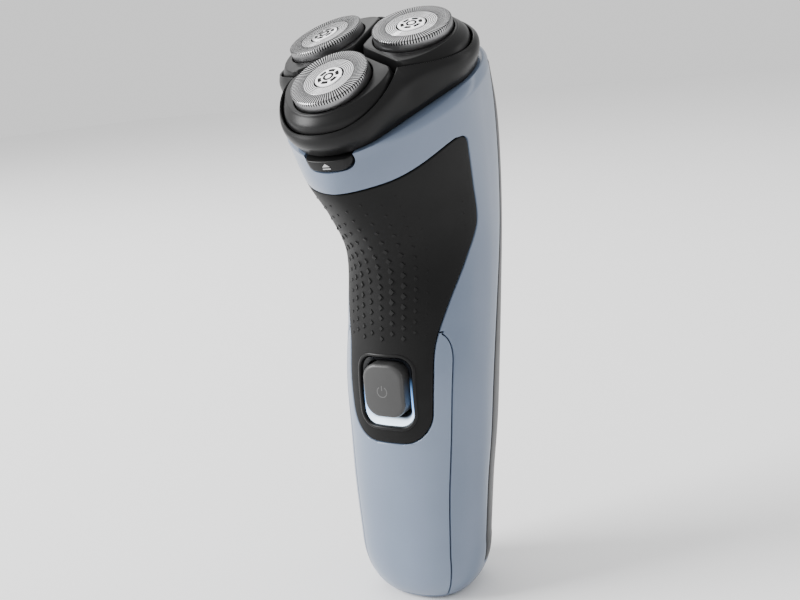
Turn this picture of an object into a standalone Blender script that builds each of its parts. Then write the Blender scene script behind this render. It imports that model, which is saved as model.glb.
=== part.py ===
"""Cordless rotary shaver with three floating shaving heads.

The origin is the centre of the flat foot under the handle.  +Z is up and the front
faces -Y.  Sizes are in millimetres; MM turns them into metres when a mesh is made.
"""
import math
from typing import NamedTuple

import bmesh
import bpy
import numpy as np
from mathutils import Matrix, Vector

MM = 0.001
GAP = 0.3  # air left between two pieces that touch
SEAM = 0.15  # half of the groove between two neighbouring shell pieces

# The head plane runs through the rims of the three guards.
HEAD_CENTRE = Vector((0.0, -12.0, 157.0))
HEAD_TILT = math.radians(28.8)
LOBE_ANGLES = {"front": -90.0, "right": 30.0, "left": 150.0}

# Handle cross-sections, from the top of the rounded base up to the head.
WALL = 2.1
BASE_HEIGHT = 16.0
BASE_ARC = math.radians(64.0)
BASE_POWER = 0.62


class Station(NamedTuple):
    """One cross-section, from its front point to its back point."""

    front_y: float
    front_z: float
    back_y: float
    back_z: float
    half_width: float
    front_power: float
    back_power: float
    front_share: float


STATIONS = (
    Station(-15.9, 16.0, 17.4, 16.0, 19.1, 2.25, 2.40, 0.49),
    Station(-15.6, 33.5, 19.7, 33.5, 20.4, 2.20, 2.45, 0.50),
    Station(-15.0, 49.0, 22.9, 49.0, 21.5, 2.10, 2.50, 0.52),
    Station(-15.2, 66.0, 26.7, 66.0, 22.0, 2.00, 2.50, 0.54),
    Station(-13.2, 82.0, 30.9, 84.0, 21.8, 1.90, 2.55, 0.56),
    Station(-12.0, 99.0, 34.7, 105.0, 21.9, 1.80, 2.60, 0.58),
    Station(-19.4, 111.0, 35.4, 123.0, 23.3, 1.75, 2.60, 0.58),
    Station(-28.1, 120.8, 32.3, 140.0, 25.4, 1.70, 2.60, 0.58),
    Station(-30.4, 128.6, 22.5, 155.0, 28.0, 1.65, 2.60, 0.58),
)
TOP_STATION = len(STATIONS) - 1

# Heights of the shell seams, counted in stations (-1 is the foot, 9 the head seam).
FOOT_LEVEL = -1.0
COVER_BOTTOM = -0.85
REAR_BOTTOM = -0.40
GRIP_BOTTOM = 2.05
COVER_TOP = 3.87
GRIP_TOP = 7.0
REAR_TOP = 8.0
SEAM_LEVEL = 9.0

# Grip edge: angle from the front, in degrees, at a station height.
GRIP_EDGE = (
    (3.0, 36.0),
    (3.7, 36.5),
    (4.3, 45.5),
    (4.9, 60.0),
    (5.4, 71.0),
    (6.2, 71.0),
    (7.0, 72.0),
)
GRIP_RISE = 0.28
GRIP_CORNER = 0.5
GRIP_WING_CORNER = 0.22
GRIP_WING_CUT = 9.0
GRIP_TIP_ANGLE = 12.0
COVER_ANGLE = 50.0
COVER_CORNER = 0.52
REAR_ANGLE = 94.0
REAR_ANGLE_TOP = 113.0

# Head collar and its seam on the handle
LOBE_OFFSET = 14.0
COLLAR_CORNER = 15.2
COLLAR_BOTTOM_H = -14.0
RIM_LOBE_RADIUS = 28.9
RIM_LOBE_H = -7.5
RIM_VALLEY_RADIUS = 17.6
RIM_VALLEY_H = -2.8
SEAM_H = -14.3
SEAM_CORNER = 15.6
HINGE_V = 22.7
HINGE_H = -14.2

# Shaving heads: z runs along each guard's own axis, from the plane of its rim
HEAD_OFFSET = 15.27
HEAD_SPLAY = math.radians(6.4)
GUARD_RADIUS = 10.3
GUARD_DEPTH = 4.6
HUB_RADIUS = 3.7
PETAL_HOLE = 10.65
PETAL_TOP = -2.6
PETAL_BOTTOM = -7.0
PETAL_EDGE = -6.2
PETAL_GAP = 0.45
PETAL_CORNER = 16
PETAL_SKIRT = 2.1
GROOVE = 2.2
CUTTER_RADIUS = 9.2
CUTTER_BLADES = 12

# Drive train in the neck: one pinion and three gears
SPINDLE_OFFSET = 14.5
PINION_TEETH = 10
GEAR_TEETH = 18
GEAR_TOP_H = -20.0
GEAR_BOTTOM_H = -23.0
SPINDLE_RADIUS = 1.6
SPINDLE_TIP_H = -6.3
MOTOR_RADIUS = 9.5
MOTOR_TOP_H = -27.0
MOTOR_BOTTOM_H = -50.0

# Power button in the grip, release button in the band under the head
BUTTON_Z = 65.1
BUTTON_WIDTH = 12.6
BUTTON_HEIGHT = 15.2
RECESS_Z = 64.5
RECESS_WIDTH = 17.2
RECESS_HEIGHT = 20.6
RECESS_CORNER = 4.6
RELEASE_WIDTH = 13.6
RELEASE_TOP_H = -14.7
RELEASE_BOTTOM_H = -17.7

# Charging socket in the foot
SOCKET_WIDTH = 9.0
SOCKET_DEPTH = 5.2
SOCKET_HEIGHT = 9.4
SOCKET_Y = 5.2


# ---------------------------------------------------------------- materials
def material(name, colour, roughness, metallic=0.0):
    """Return a Principled material."""
    made = bpy.data.materials.new(name)
    made.use_nodes = True
    shader = made.node_tree.nodes["Principled BSDF"]
    shader.inputs["Base Color"].default_value = (*colour, 1.0)
    shader.inputs["Roughness"].default_value = roughness
    shader.inputs["Metallic"].default_value = metallic
    return made


def make_materials():
    """Return the finishes of the shaver by name."""
    return {
        "blue": material("blue_housing", (0.33, 0.43, 0.58), 0.35),
        "cover": material("blue_cover", (0.42, 0.53, 0.68), 0.32),
        "rubber": material("charcoal_rubber", (0.03, 0.03, 0.035), 0.6),
        "black": material("black_plastic", (0.012, 0.012, 0.013), 0.35),
        "rear": material("dark_grey_plastic", (0.05, 0.055, 0.06), 0.45),
        "button": material("button_grey", (0.07, 0.07, 0.075), 0.4),
        "light": material("light_guide", (0.8, 0.9, 1.0), 0.3),
        "steel": material("brushed_steel", (0.6, 0.6, 0.61), 0.25, 1.0),
        "nylon": material("white_nylon", (0.75, 0.74, 0.7), 0.5),
        "board": material("green_board", (0.03, 0.14, 0.06), 0.5),
        "battery": material("battery_wrap", (0.1, 0.12, 0.3), 0.4),
        "brass": material("brass", (0.7, 0.5, 0.2), 0.3, 1.0),
    }


# ---------------------------------------------------------------- frames
def head_frame(x=0.0, v=0.0, h=0.0):
    """Return the matrix of a point of the head frame: v along the head plane, h out of it."""
    tilt = Matrix.Rotation(HEAD_TILT, 4, "X")
    return Matrix.Translation(HEAD_CENTRE) @ tilt @ Matrix.Translation((x, v, h))


def lobe_frame(side, offset=0.0, h=0.0):
    """Return the head frame turned so that +X points out through one lobe."""
    turn = Matrix.Rotation(math.radians(LOBE_ANGLES[side]), 4, "Z")
    return head_frame() @ turn @ Matrix.Translation((offset, 0.0, h))


def shaving_frame(side):
    """Return the frame of one guard: origin in its rim plane, +Z along its axis."""
    return lobe_frame(side, HEAD_OFFSET) @ Matrix.Rotation(HEAD_SPLAY, 4, "Y")


def metres(frame):
    """Return a frame in millimetres as a matrix in metres."""
    result = frame.copy()
    result.translation = frame.translation * MM
    return result


# ---------------------------------------------------------------- mesh helpers
def add_object(name, verts, faces, finish, frame=None, parent=None, sharp=35.0):
    """Make one object from millimetre points in its own frame and hang it on its parent."""
    mesh = bpy.data.meshes.new(name)
    mesh.from_pydata([Vector(point) * MM for point in verts], [], faces)
    body = bmesh.new()
    body.from_mesh(mesh)
    bmesh.ops.recalc_face_normals(body, faces=body.faces)
    body.to_mesh(mesh)
    body.free()
    mesh.shade_smooth()
    mesh.set_sharp_from_angle(angle=math.radians(sharp))
    if finish is not None:
        mesh.materials.append(finish)
    made = bpy.data.objects.new(name, mesh)
    bpy.context.collection.objects.link(made)
    hang(made, metres(frame or Matrix.Identity(4)), parent)
    return made


def hang(item, world, parent=None):
    """Place an object in the world, under a parent when there is one."""
    item["world"] = [value for row in world for value in row]
    if parent is None:
        item.matrix_basis = world
        return
    item.parent = parent
    parent_world = Matrix(np.array(parent["world"]).reshape(4, 4).tolist())
    item.matrix_basis = parent_world.inverted() @ world


def add_pivot(name, frame, parent=None):
    """Make an empty on a joint axis."""
    empty = bpy.data.objects.new(name, None)
    empty.empty_display_size = 5 * MM
    bpy.context.collection.objects.link(empty)
    hang(empty, metres(frame), parent)
    return empty


def loft(rings, closed_profile=False):
    """Return verts and faces of a body skinned over rings of equal length.

    The ends are capped, or joined to each other when closed_profile is set.
    """
    count = len(rings[0])
    verts = [point for ring in rings for point in ring]
    faces = []
    spans = len(rings) if closed_profile else len(rings) - 1
    for level in range(spans):
        low = level * count
        high = (level + 1) % len(rings) * count
        for i in range(count):
            j = (i + 1) % count
            faces.append((low + i, low + j, high + j, high + i))
    if not closed_profile:
        faces.append(tuple(range(count - 1, -1, -1)))
        faces.append(tuple(range((len(rings) - 1) * count, len(rings) * count)))
    return verts, faces


def turned(profile, segments, closed_profile=False):
    """Return a body turned about Z from (radius, z) points."""
    rings = []
    for radius, z in profile:
        angles = [math.tau * i / segments for i in range(segments)]
        rings.append([(radius * math.cos(a), radius * math.sin(a), z) for a in angles])
    return loft(rings, closed_profile)


def prism(outline, low, high):
    """Return a body extruded along Z from an outline of (x, y) points."""
    return loft([[(x, y, low) for x, y in outline], [(x, y, high) for x, y in outline]])


def rounded_box(width, depth, corner, steps=4):
    """Return the outline of a rectangle with round corners, centred on the origin."""
    outline = []
    for quarter in range(4):
        sx = 1 if quarter in (0, 3) else -1
        sy = 1 if quarter in (0, 1) else -1
        for step in range(steps + 1):
            a = math.radians(90 * quarter + 90 * step / steps)
            x = sx * (width / 2 - corner) + corner * math.cos(a)
            y = sy * (depth / 2 - corner) + corner * math.sin(a)
            outline.append((x, y))
    return outline


def lobe_fold(angle):
    """Return how far an angle lies from the nearest lobe direction, in radians."""
    third = math.tau / 3
    turned_angle = (angle + math.pi / 2) % third
    return min(turned_angle, third - turned_angle)


def hull_radius(angle, offset, corner):
    """Return the radius of a triangle of three round corners, at an angle about Z."""
    fold = lobe_fold(angle)
    tangent = math.atan2(corner * math.sin(math.pi / 3), offset + corner / 2)
    if fold < tangent:
        return offset * math.cos(fold) + math.sqrt(corner**2 - (offset * math.sin(fold)) ** 2)
    return (offset / 2 + corner) / math.cos(math.pi / 3 - fold)


def hull_outline(offset, corner, count=48):
    """Return the outline of a triangle of three round corners."""
    outline = []
    for i in range(count):
        angle = -math.pi / 2 + math.tau * i / count
        radius = hull_radius(angle, offset, corner)
        outline.append((radius * math.cos(angle), radius * math.sin(angle)))
    return outline


def smoothstep(value):
    """Ease from 0 to 1."""
    value = min(max(value, 0.0), 1.0)
    return value * value * (3 - 2 * value)


def rim_point(angle):
    """Return the radius and the height of the collar's rim at an angle about Z."""
    fold = lobe_fold(angle)
    radius = RIM_VALLEY_RADIUS + (RIM_LOBE_RADIUS - RIM_VALLEY_RADIUS) * math.cos(1.5 * fold)
    rise = smoothstep((math.degrees(fold) - 10.0) / 52.0)
    return radius, RIM_LOBE_H + (RIM_VALLEY_H - RIM_LOBE_H) * rise


def cut(target, verts, faces, frame, name):
    """Cut a shape out of an object with an exact boolean."""
    cutter = add_object(name, verts, faces, None, frame)
    cutter.hide_render = True
    cutter.display_type = "WIRE"
    change = target.modifiers.new(name, "BOOLEAN")
    change.operation = "DIFFERENCE"
    change.solver = "EXACT"
    change.object = cutter


def join(target, verts, faces, frame, name):
    """Grow an object by a shape with an exact boolean."""
    guide = add_object(name, verts, faces, None, frame)
    guide.hide_render = True
    guide.display_type = "WIRE"
    change = target.modifiers.new(name, "BOOLEAN")
    change.operation = "UNION"
    change.solver = "EXACT"
    change.object = guide


# ---------------------------------------------------------------- handle surface
def interpolate(points, t):
    """Return a Catmull-Rom value through evenly counted points."""
    last = len(points) - 1
    i = min(max(int(math.floor(t)), 0), last - 1)
    u = t - i
    before = points[i - 1] if i > 0 else 2 * points[0] - points[1]
    after = points[i + 2] if i + 2 <= last else 2 * points[last] - points[last - 1]
    slope_low = (points[i + 1] - before) / 2
    slope_high = (after - points[i]) / 2
    rise = points[i + 1] - points[i]
    curve = (3 * rise - 2 * slope_low - slope_high) * u**2
    return points[i] + slope_low * u + curve + (slope_low + slope_high - 2 * rise) * u**3


def section_point(t, angle):
    """Return the point of the handle at a station height and an angle from the front."""
    s = Station(*interpolate(np.array(STATIONS), min(max(t, 0.0), TOP_STATION)))
    front = Vector((0.0, s.front_y, s.front_z))
    across = Vector((0.0, s.back_y, s.back_z)) - front
    reach = across.length * (s.front_share if math.cos(angle) > 0 else 1 - s.front_share)
    power = s.front_power if math.cos(angle) > 0 else s.back_power
    side = abs(math.sin(angle) / s.half_width) ** power + abs(math.cos(angle) / reach) ** power
    radius = side ** (-1 / power)
    along = across.length * s.front_share - radius * math.cos(angle)
    return front + across.normalized() * along + Vector((radius * math.sin(angle), 0.0, 0.0))


def seam_point(angle):
    """Return the point of the head seam at an angle from the front."""
    turn = angle - math.pi / 2
    radius = hull_radius(turn, LOBE_OFFSET, SEAM_CORNER)
    return head_frame() @ Vector((radius * math.cos(turn), radius * math.sin(turn), SEAM_H))


def handle_point(t, angle):
    """Return a point of the outer surface, from the foot (t = -1) to the head seam (t = 9)."""
    if abs(t - GRIP_TOP) < 1:
        side = math.degrees(math.acos(math.cos(angle)))
        t += GRIP_RISE * smoothstep((side - 20.0) / 45.0) * smoothstep(1 - abs(t - GRIP_TOP))
    if t < 0:
        swing = -t * BASE_ARC
        rim = section_point(0.0, angle)
        scale = math.cos(swing) ** BASE_POWER
        z = BASE_HEIGHT * (1 - math.sin(swing) / math.sin(BASE_ARC))
        return Vector((rim.x * scale, rim.y * scale, z))
    if t <= TOP_STATION:
        return section_point(t, angle)
    low = section_point(TOP_STATION, angle)
    axis = head_frame().to_3x3().col[2]
    step = seam_point(angle) - low
    rise = axis * step.dot(axis)
    swing = (t - TOP_STATION) * math.pi / 2
    return low + rise * math.sin(swing) + (step - rise) * (1 - math.cos(swing))


def handle_inward(t, angle):
    """Return the unit direction into the handle at a point of its surface."""
    nudge = 0.02
    low, high = max(t - nudge, FOOT_LEVEL), min(t + nudge, SEAM_LEVEL)
    along = handle_point(high, angle) - handle_point(low, angle)
    around = handle_point(t, angle + nudge) - handle_point(t, angle - nudge)
    inward = along.cross(around).normalized()
    if t > GRIP_TOP:
        axis = head_frame().to_3x3().col[2]
        flat = around.cross(-axis).normalized()
        flat = flat if flat.dot(inward) > 0 else -flat
        blend = smoothstep((t - GRIP_TOP) / (REAR_TOP - GRIP_TOP))
        inward = (inward * (1 - blend) + flat * blend).normalized()
    return inward


def grip_angle(t):
    """Return the angle of the grip's edge in degrees."""
    heights = [height for height, _ in GRIP_EDGE]
    angles = np.array([angle for _, angle in GRIP_EDGE])
    count = float(np.interp(t, heights, range(len(heights))))
    angle = float(interpolate(angles, count))
    if t < GRIP_BOTTOM + GRIP_CORNER:
        drop = min((GRIP_BOTTOM + GRIP_CORNER - t) / GRIP_CORNER, 1.0)
        angle = GRIP_TIP_ANGLE + (angle - GRIP_TIP_ANGLE) * math.sqrt(1 - drop**2)
    wing = min(max((t - GRIP_TOP) / GRIP_WING_CORNER + 1, 0.0), 1.0)
    angle -= GRIP_WING_CUT * (1 - math.sqrt(1 - wing**2))
    return max(angle, GRIP_TIP_ANGLE)


def cover_angle(t):
    """Return the angle of the front cover's edge in degrees."""
    start = COVER_TOP - COVER_CORNER
    least = grip_angle(t) + 3.0
    if t <= start:
        return max(COVER_ANGLE, least)
    drop = min((t - start) / COVER_CORNER, 1.0)
    edge = grip_angle(start) + (COVER_ANGLE - grip_angle(start)) * math.sqrt(1 - drop**2)
    return max(edge, least)


def rear_angle(t):
    """Return the angle of the rear panel's edge in degrees."""
    ease = smoothstep((t - 2.0) / 5.5)
    return REAR_ANGLE + (REAR_ANGLE_TOP - REAR_ANGLE) * ease


# Rows of the shell between its level seams, and the piece in each column of a row.
ROWS = (
    (FOOT_LEVEL, COVER_BOTTOM, 1, ("housing", "housing", "housing", "housing")),
    (COVER_BOTTOM, REAR_BOTTOM, 3, ("cover", "cover", "housing", "housing")),
    (REAR_BOTTOM, GRIP_BOTTOM, 5, ("cover", "cover", "housing", "rear")),
    (GRIP_BOTTOM, COVER_TOP, 6, ("grip", "cover", "housing", "rear")),
    (COVER_TOP, GRIP_TOP, 8, ("grip", "housing", "housing", "rear")),
    (GRIP_TOP, REAR_TOP, 3, ("housing", "housing", "housing", "rear")),
    (REAR_TOP, SEAM_LEVEL, 3, ("housing", "housing", "housing", "housing")),
)
COLUMN_CELLS = (5, 2, 2, 5)


def level_list():
    """Return the levels of the shell grid and the row of each cell (None across a seam)."""
    levels, rows = [], []
    for index, (low, high, cells, _) in enumerate(ROWS):
        span = (handle_point(high, 0.0) - handle_point(low, 0.0)).length
        inset = SEAM * (high - low) / span
        start = low + (inset if index > 0 else 0.0)
        end = high - (inset if index < len(ROWS) - 1 else 0.0)
        steps = np.linspace(start, end, cells + 1)
        if index in (3, 4):
            ease = (1 - np.cos(np.linspace(0, 1, cells + 1) * math.pi)) / 2
            steps = start + (end - start) * ease
        levels.extend(steps.tolist())
        rows.extend([index] * cells)
        rows.append(None)
    return levels, rows[:-1]


def column_angles(t):
    """Return the angles of the grid columns of one side, front to back, and their columns."""
    edges = [0.0, grip_angle(t), cover_angle(t), rear_angle(t), 180.0]
    radius = (handle_point(t, math.pi / 2) - handle_point(t, -math.pi / 2)).length / 2
    inset = math.degrees(SEAM / radius)
    angles, columns = [], []
    for index, cells in enumerate(COLUMN_CELLS):
        low = edges[index] + (inset if index > 0 else 0.0)
        high = edges[index + 1] - (inset if index < len(COLUMN_CELLS) - 1 else 0.0)
        angles.extend(np.linspace(low, high, cells + 1).tolist())
        columns.extend([index] * cells)
        columns.append(None)
    return angles, columns[:-1]


def fill_seams(cells):
    """Give each seam cell to a piece when the cells on both of its sides are that piece."""
    filled = [row[:] for row in cells]
    high, wide = len(cells), len(cells[0])
    for i in range(high):
        for j in range(wide):
            if cells[i][j] is None:
                pairs = []
                if 0 < i < high - 1:
                    pairs.append((cells[i - 1][j], cells[i + 1][j]))
                pairs.append((cells[i][j - 1], cells[i][(j + 1) % wide]))
                corners = set()
                if 0 < i < high - 1:
                    corners = {cells[a][b % wide] for a in (i - 1, i + 1) for b in (j - 1, j + 1)}
                for one, other in pairs:
                    if one is not None and one == other:
                        filled[i][j] = one
                if filled[i][j] is None and len(corners) == 1:
                    filled[i][j] = corners.pop()
    return filled


def shell_grid():
    """Return the outer and inner points of the shell grid and the piece of each cell."""
    levels, rows = level_list()
    outer, inner = [], []
    for t in levels:
        half, _ = column_angles(t)
        ring = half + [360.0 - angle for angle in reversed(half[1:-1])]
        points = [handle_point(t, math.radians(angle)) for angle in ring]
        inward = [handle_inward(t, math.radians(angle)) for angle in ring]
        outer.append(points)
        inner.append([p + d * WALL for p, d in zip(points, inward)])
    _, columns = column_angles(levels[0])
    columns = columns + columns[::-1]
    cells = []
    for row in rows:
        pieces = ROWS[row][3] if row is not None else (None,) * 4
        cells.append([pieces[column] if column is not None else None for column in columns])
    return outer, inner, fill_seams(cells)


def shell_piece(piece, grid):
    """Return verts and faces of one shell piece: outer skin, inner skin and edge walls."""
    outer, inner, cells = grid
    wide = len(outer[0])
    verts, faces, index = [], [], {}

    def corner(skin, i, j):
        key = (skin, i, j % wide)
        if key not in index:
            index[key] = len(verts)
            verts.append((outer if skin else inner)[i][j % wide])
        return index[key]

    for i, row in enumerate(cells):
        for j, owner in enumerate(row):
            if owner != piece:
                continue
            around = ((i, j), (i, j + 1), (i + 1, j + 1), (i + 1, j))
            faces.append([corner(True, *point) for point in around])
            faces.append([corner(False, *point) for point in reversed(around)])
            beyond = ((i - 1, j), (i, j + 1), (i + 1, j), (i, j - 1))
            for side, (a, b) in enumerate(beyond):
                inside = 0 <= a < len(cells) and cells[a][b % wide] == piece
                if inside or (a < 0 and piece == "housing"):
                    continue
                one, other = around[side], around[(side + 1) % 4]
                outside = [corner(True, *other), corner(True, *one)]
                faces.append(outside + [corner(False, *one), corner(False, *other)])
    if piece == "housing":
        faces.append([corner(True, 0, j) for j in range(wide)])
        faces.append([corner(False, 0, j) for j in reversed(range(wide))])
    return verts, faces


def make_shell(finish):
    """Make the housing, front cover, grip and rear panel."""
    grid = shell_grid()
    pieces = (
        ("housing", "main_housing", "blue"),
        ("cover", "front_cover", "cover"),
        ("grip", "grip_panel", "rubber"),
        ("rear", "rear_panel", "rear"),
    )
    made = {}
    for piece, name, look in pieces:
        made[piece] = add_object(name, *shell_piece(piece, grid), finish[look], sharp=40.0)
    recess = prism(rounded_box(RECESS_WIDTH, RECESS_HEIGHT, RECESS_CORNER), 0.0, 14.0)
    front = Matrix.Translation((0.0, -4.0, RECESS_Z)) @ Matrix.Rotation(math.pi / 2, 4, "X")
    cut(made["grip"], *recess, front, "button_recess_cutter")
    notch = prism(rounded_box(RELEASE_WIDTH + 0.8, 12.0, 0.5, 1), 0.0, 6.4)
    cut(made["housing"], *notch, head_frame(0.0, -29.0, RELEASE_BOTTOM_H - 0.4), "release_notch_cutter")
    hinge = prism(rounded_box(17.8, 4.4, 0.5, 1), 0.0, 4.4)
    cut(made["housing"], *hinge, head_frame(0.0, HINGE_V, -16.4), "hinge_notch_cutter")
    socket = prism(rounded_box(SOCKET_WIDTH + 2.2, SOCKET_DEPTH + 2.2, 1.4, 2), -1.0, 6.0)
    cut(made["housing"], *socket, Matrix.Translation((0.0, SOCKET_Y, 0.0)), "socket_hole_cutter")
    return made


# ---------------------------------------------------------------- buttons
def make_power_button(finish):
    """Make the recess lining, the light ring and the button, with its plunger."""
    front = Matrix.Translation((0.0, 0.0, RECESS_Z)) @ Matrix.Rotation(math.pi / 2, 4, "X")
    rim = rounded_box(RECESS_WIDTH - 2 * GAP, RECESS_HEIGHT - 2 * GAP, RECESS_CORNER - GAP)
    lip = rounded_box(RECESS_WIDTH - 2.2, RECESS_HEIGHT - 2.2, RECESS_CORNER - 1.1)
    floor = rounded_box(BUTTON_WIDTH + 1.0, BUTTON_HEIGHT + 1.0, 3.6)
    floor = [(x, y + BUTTON_Z - RECESS_Z) for x, y in floor]
    rings = [
        [(x, y, 8.6) for x, y in rim],
        [(x, y, 12.4) for x, y in rim],
        [(x, y, 12.4) for x, y in lip],
        [(x, y, 10.0) for x, y in lip],
        [(x, y, 10.0) for x, y in floor],
        [(x, y, 8.6) for x, y in floor],
    ]
    add_object("button_bezel", *loft(rings, closed_profile=True), finish["black"], front)
    outer = rounded_box(RECESS_WIDTH - 2.8, RECESS_HEIGHT - 2.8, RECESS_CORNER - 1.4)
    inner = rounded_box(RECESS_WIDTH - 3.8, RECESS_HEIGHT - 3.8, RECESS_CORNER - 1.9)
    rings = [
        [(x, y, 10.0 + GAP) for x, y in outer],
        [(x, y, 11.6) for x, y in outer],
        [(x, y, 11.6) for x, y in inner],
        [(x, y, 10.0 + GAP) for x, y in inner],
    ]
    add_object("indicator_light_ring", *loft(rings, closed_profile=True), finish["light"], front)
    face = Matrix.Translation((0.0, 0.0, BUTTON_Z)) @ Matrix.Rotation(math.pi / 2, 4, "X")
    rings = []
    for inset, z in ((0.0, 9.2), (0.0, 14.4), (0.35, 15.3), (1.3, 15.8), (3.6, 16.1)):
        corner = max(3.4 - inset, 0.8)
        outline = rounded_box(BUTTON_WIDTH - 2 * inset, BUTTON_HEIGHT - 2 * inset, corner)
        rings.append([(x, y, z) for x, y in outline])
    button = add_object("power_button", *loft(rings), finish["button"], face, sharp=50.0)
    return button


def make_release_button(finish):
    """Make the head release button, its arrow mark and its leaf spring."""
    half = RELEASE_WIDTH / 2
    bend = 20.0
    outline = []
    for step in range(9):
        x = -half + RELEASE_WIDTH * step / 8
        outline.append((x, -30.2 + (bend - math.sqrt(bend**2 - x**2))))
    outline += [(half, -24.8), (-half, -24.8)]
    shape = prism(outline, RELEASE_BOTTOM_H, RELEASE_TOP_H)
    frame = head_frame(0.0, -30.2, (RELEASE_TOP_H + RELEASE_BOTTOM_H) / 2)
    shift = frame.inverted() @ head_frame()
    verts = [shift @ Vector(point) for point in shape[0]]
    button = add_object("release_button", verts, shape[1], finish["black"], frame)
    mark = [(-1.5, -0.6), (1.5, -0.6), (0.0, 0.9)]
    arrow = frame @ Matrix.Rotation(math.pi / 2, 4, "X")
    add_object("eject_mark", *prism(mark, GAP, GAP + 0.25), finish["steel"], arrow, button)
    leaf = prism([(-5.0, -23.3), (5.0, -23.3), (5.0, -22.9), (-5.0, -22.9)], -17.5, -14.9)
    add_object("release_leaf_spring", *leaf, finish["steel"], head_frame())


# ---------------------------------------------------------------- inside the handle
def make_electronics(finish):
    """Make the chassis, battery, circuit board, switch and charging socket."""
    tray = prism(rounded_box(26.0, 54.0, 3.0, 3), 1.6, 3.4)
    upright = Matrix.Translation((0.0, 0.0, 56.0)) @ Matrix.Rotation(math.pi / 2, 4, "X")
    add_object("inner_chassis", *tray, finish["black"], upright)
    board = prism(rounded_box(22.0, 50.0, 1.5, 2), 3.8, 5.2)
    add_object("circuit_board", *board, finish["board"], upright)
    switch = prism(rounded_box(6.0, 6.0, 0.6, 1), 5.5, 8.2)
    at_button = Matrix.Translation((0.0, 0.0, BUTTON_Z)) @ Matrix.Rotation(math.pi / 2, 4, "X")
    add_object("tactile_switch", *switch, finish["steel"], at_button)
    led = prism(rounded_box(2.0, 1.2, 0.3, 1), 5.5, 6.6)
    at_led = Matrix.Translation((0.0, 0.0, BUTTON_Z - 12.0)) @ Matrix.Rotation(math.pi / 2, 4, "X")
    add_object("indicator_led", *led, finish["light"], at_led)
    cell = [(6.4, 0.0), (7.0, 0.6), (7.0, 48.0), (6.4, 48.6), (2.8, 48.7), (2.8, 49.8)]
    at_cell = Matrix.Translation((0.0, 7.4, 26.0))
    add_object("battery_cell", *turned(cell, 20), finish["battery"], at_cell)
    outside = rounded_box(SOCKET_WIDTH + 1.6, SOCKET_DEPTH + 1.6, 1.2, 2)
    inside = rounded_box(SOCKET_WIDTH, SOCKET_DEPTH, 0.8, 2)
    rings = [[(x, y, SOCKET_HEIGHT) for x, y in inside], [(x, y, 0.5) for x, y in inside]]
    rings += [[(x, y, z) for x, y in outside] for z in (0.5, SOCKET_HEIGHT + 1.2)]
    at_socket = Matrix.Translation((0.0, SOCKET_Y, 0.0))
    add_object("charging_socket", *loft(rings), finish["black"], at_socket)
    pin = [(0.5, 5.4), (0.5, SOCKET_HEIGHT - GAP)]
    for side, x in (("left", -2.0), ("right", 2.0)):
        place = Matrix.Translation((x, SOCKET_Y, 0.0))
        add_object(f"socket_pin_{side}", *turned(pin, 8), finish["brass"], place)


# ---------------------------------------------------------------- drive train
def gear_outline(teeth, module, phase, backlash=0.22):
    """Return a gear outline with straight-sided teeth; a tooth points along phase."""
    pitch = module * teeth / 2
    tip, root = pitch + 0.8 * module, pitch - 1.05 * module
    half_pitch = math.pi * module / 4 - backlash / 2
    lean = math.tan(math.radians(20.0))
    outline = []
    for tooth in range(teeth):
        centre = phase + math.tau * tooth / teeth
        root_half = half_pitch + (pitch - root) * lean
        tip_half = half_pitch - (tip - pitch) * lean
        for radius, half in ((root, -root_half), (tip, -tip_half), (tip, tip_half), (root, root_half)):
            angle = centre + half / radius
            outline.append((radius * math.cos(angle), radius * math.sin(angle)))
    return outline


def ring_prism(outline, hole, low, high):
    """Return an extruded outline with a round hole of as many points."""
    angles = [math.atan2(y, x) for x, y in outline]
    inside = [(hole * math.cos(a), hole * math.sin(a)) for a in angles]
    rings = [
        [(x, y, low) for x, y in inside],
        [(x, y, low) for x, y in outline],
        [(x, y, high) for x, y in outline],
        [(x, y, high) for x, y in inside],
    ]
    return loft(rings, closed_profile=True)


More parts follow.
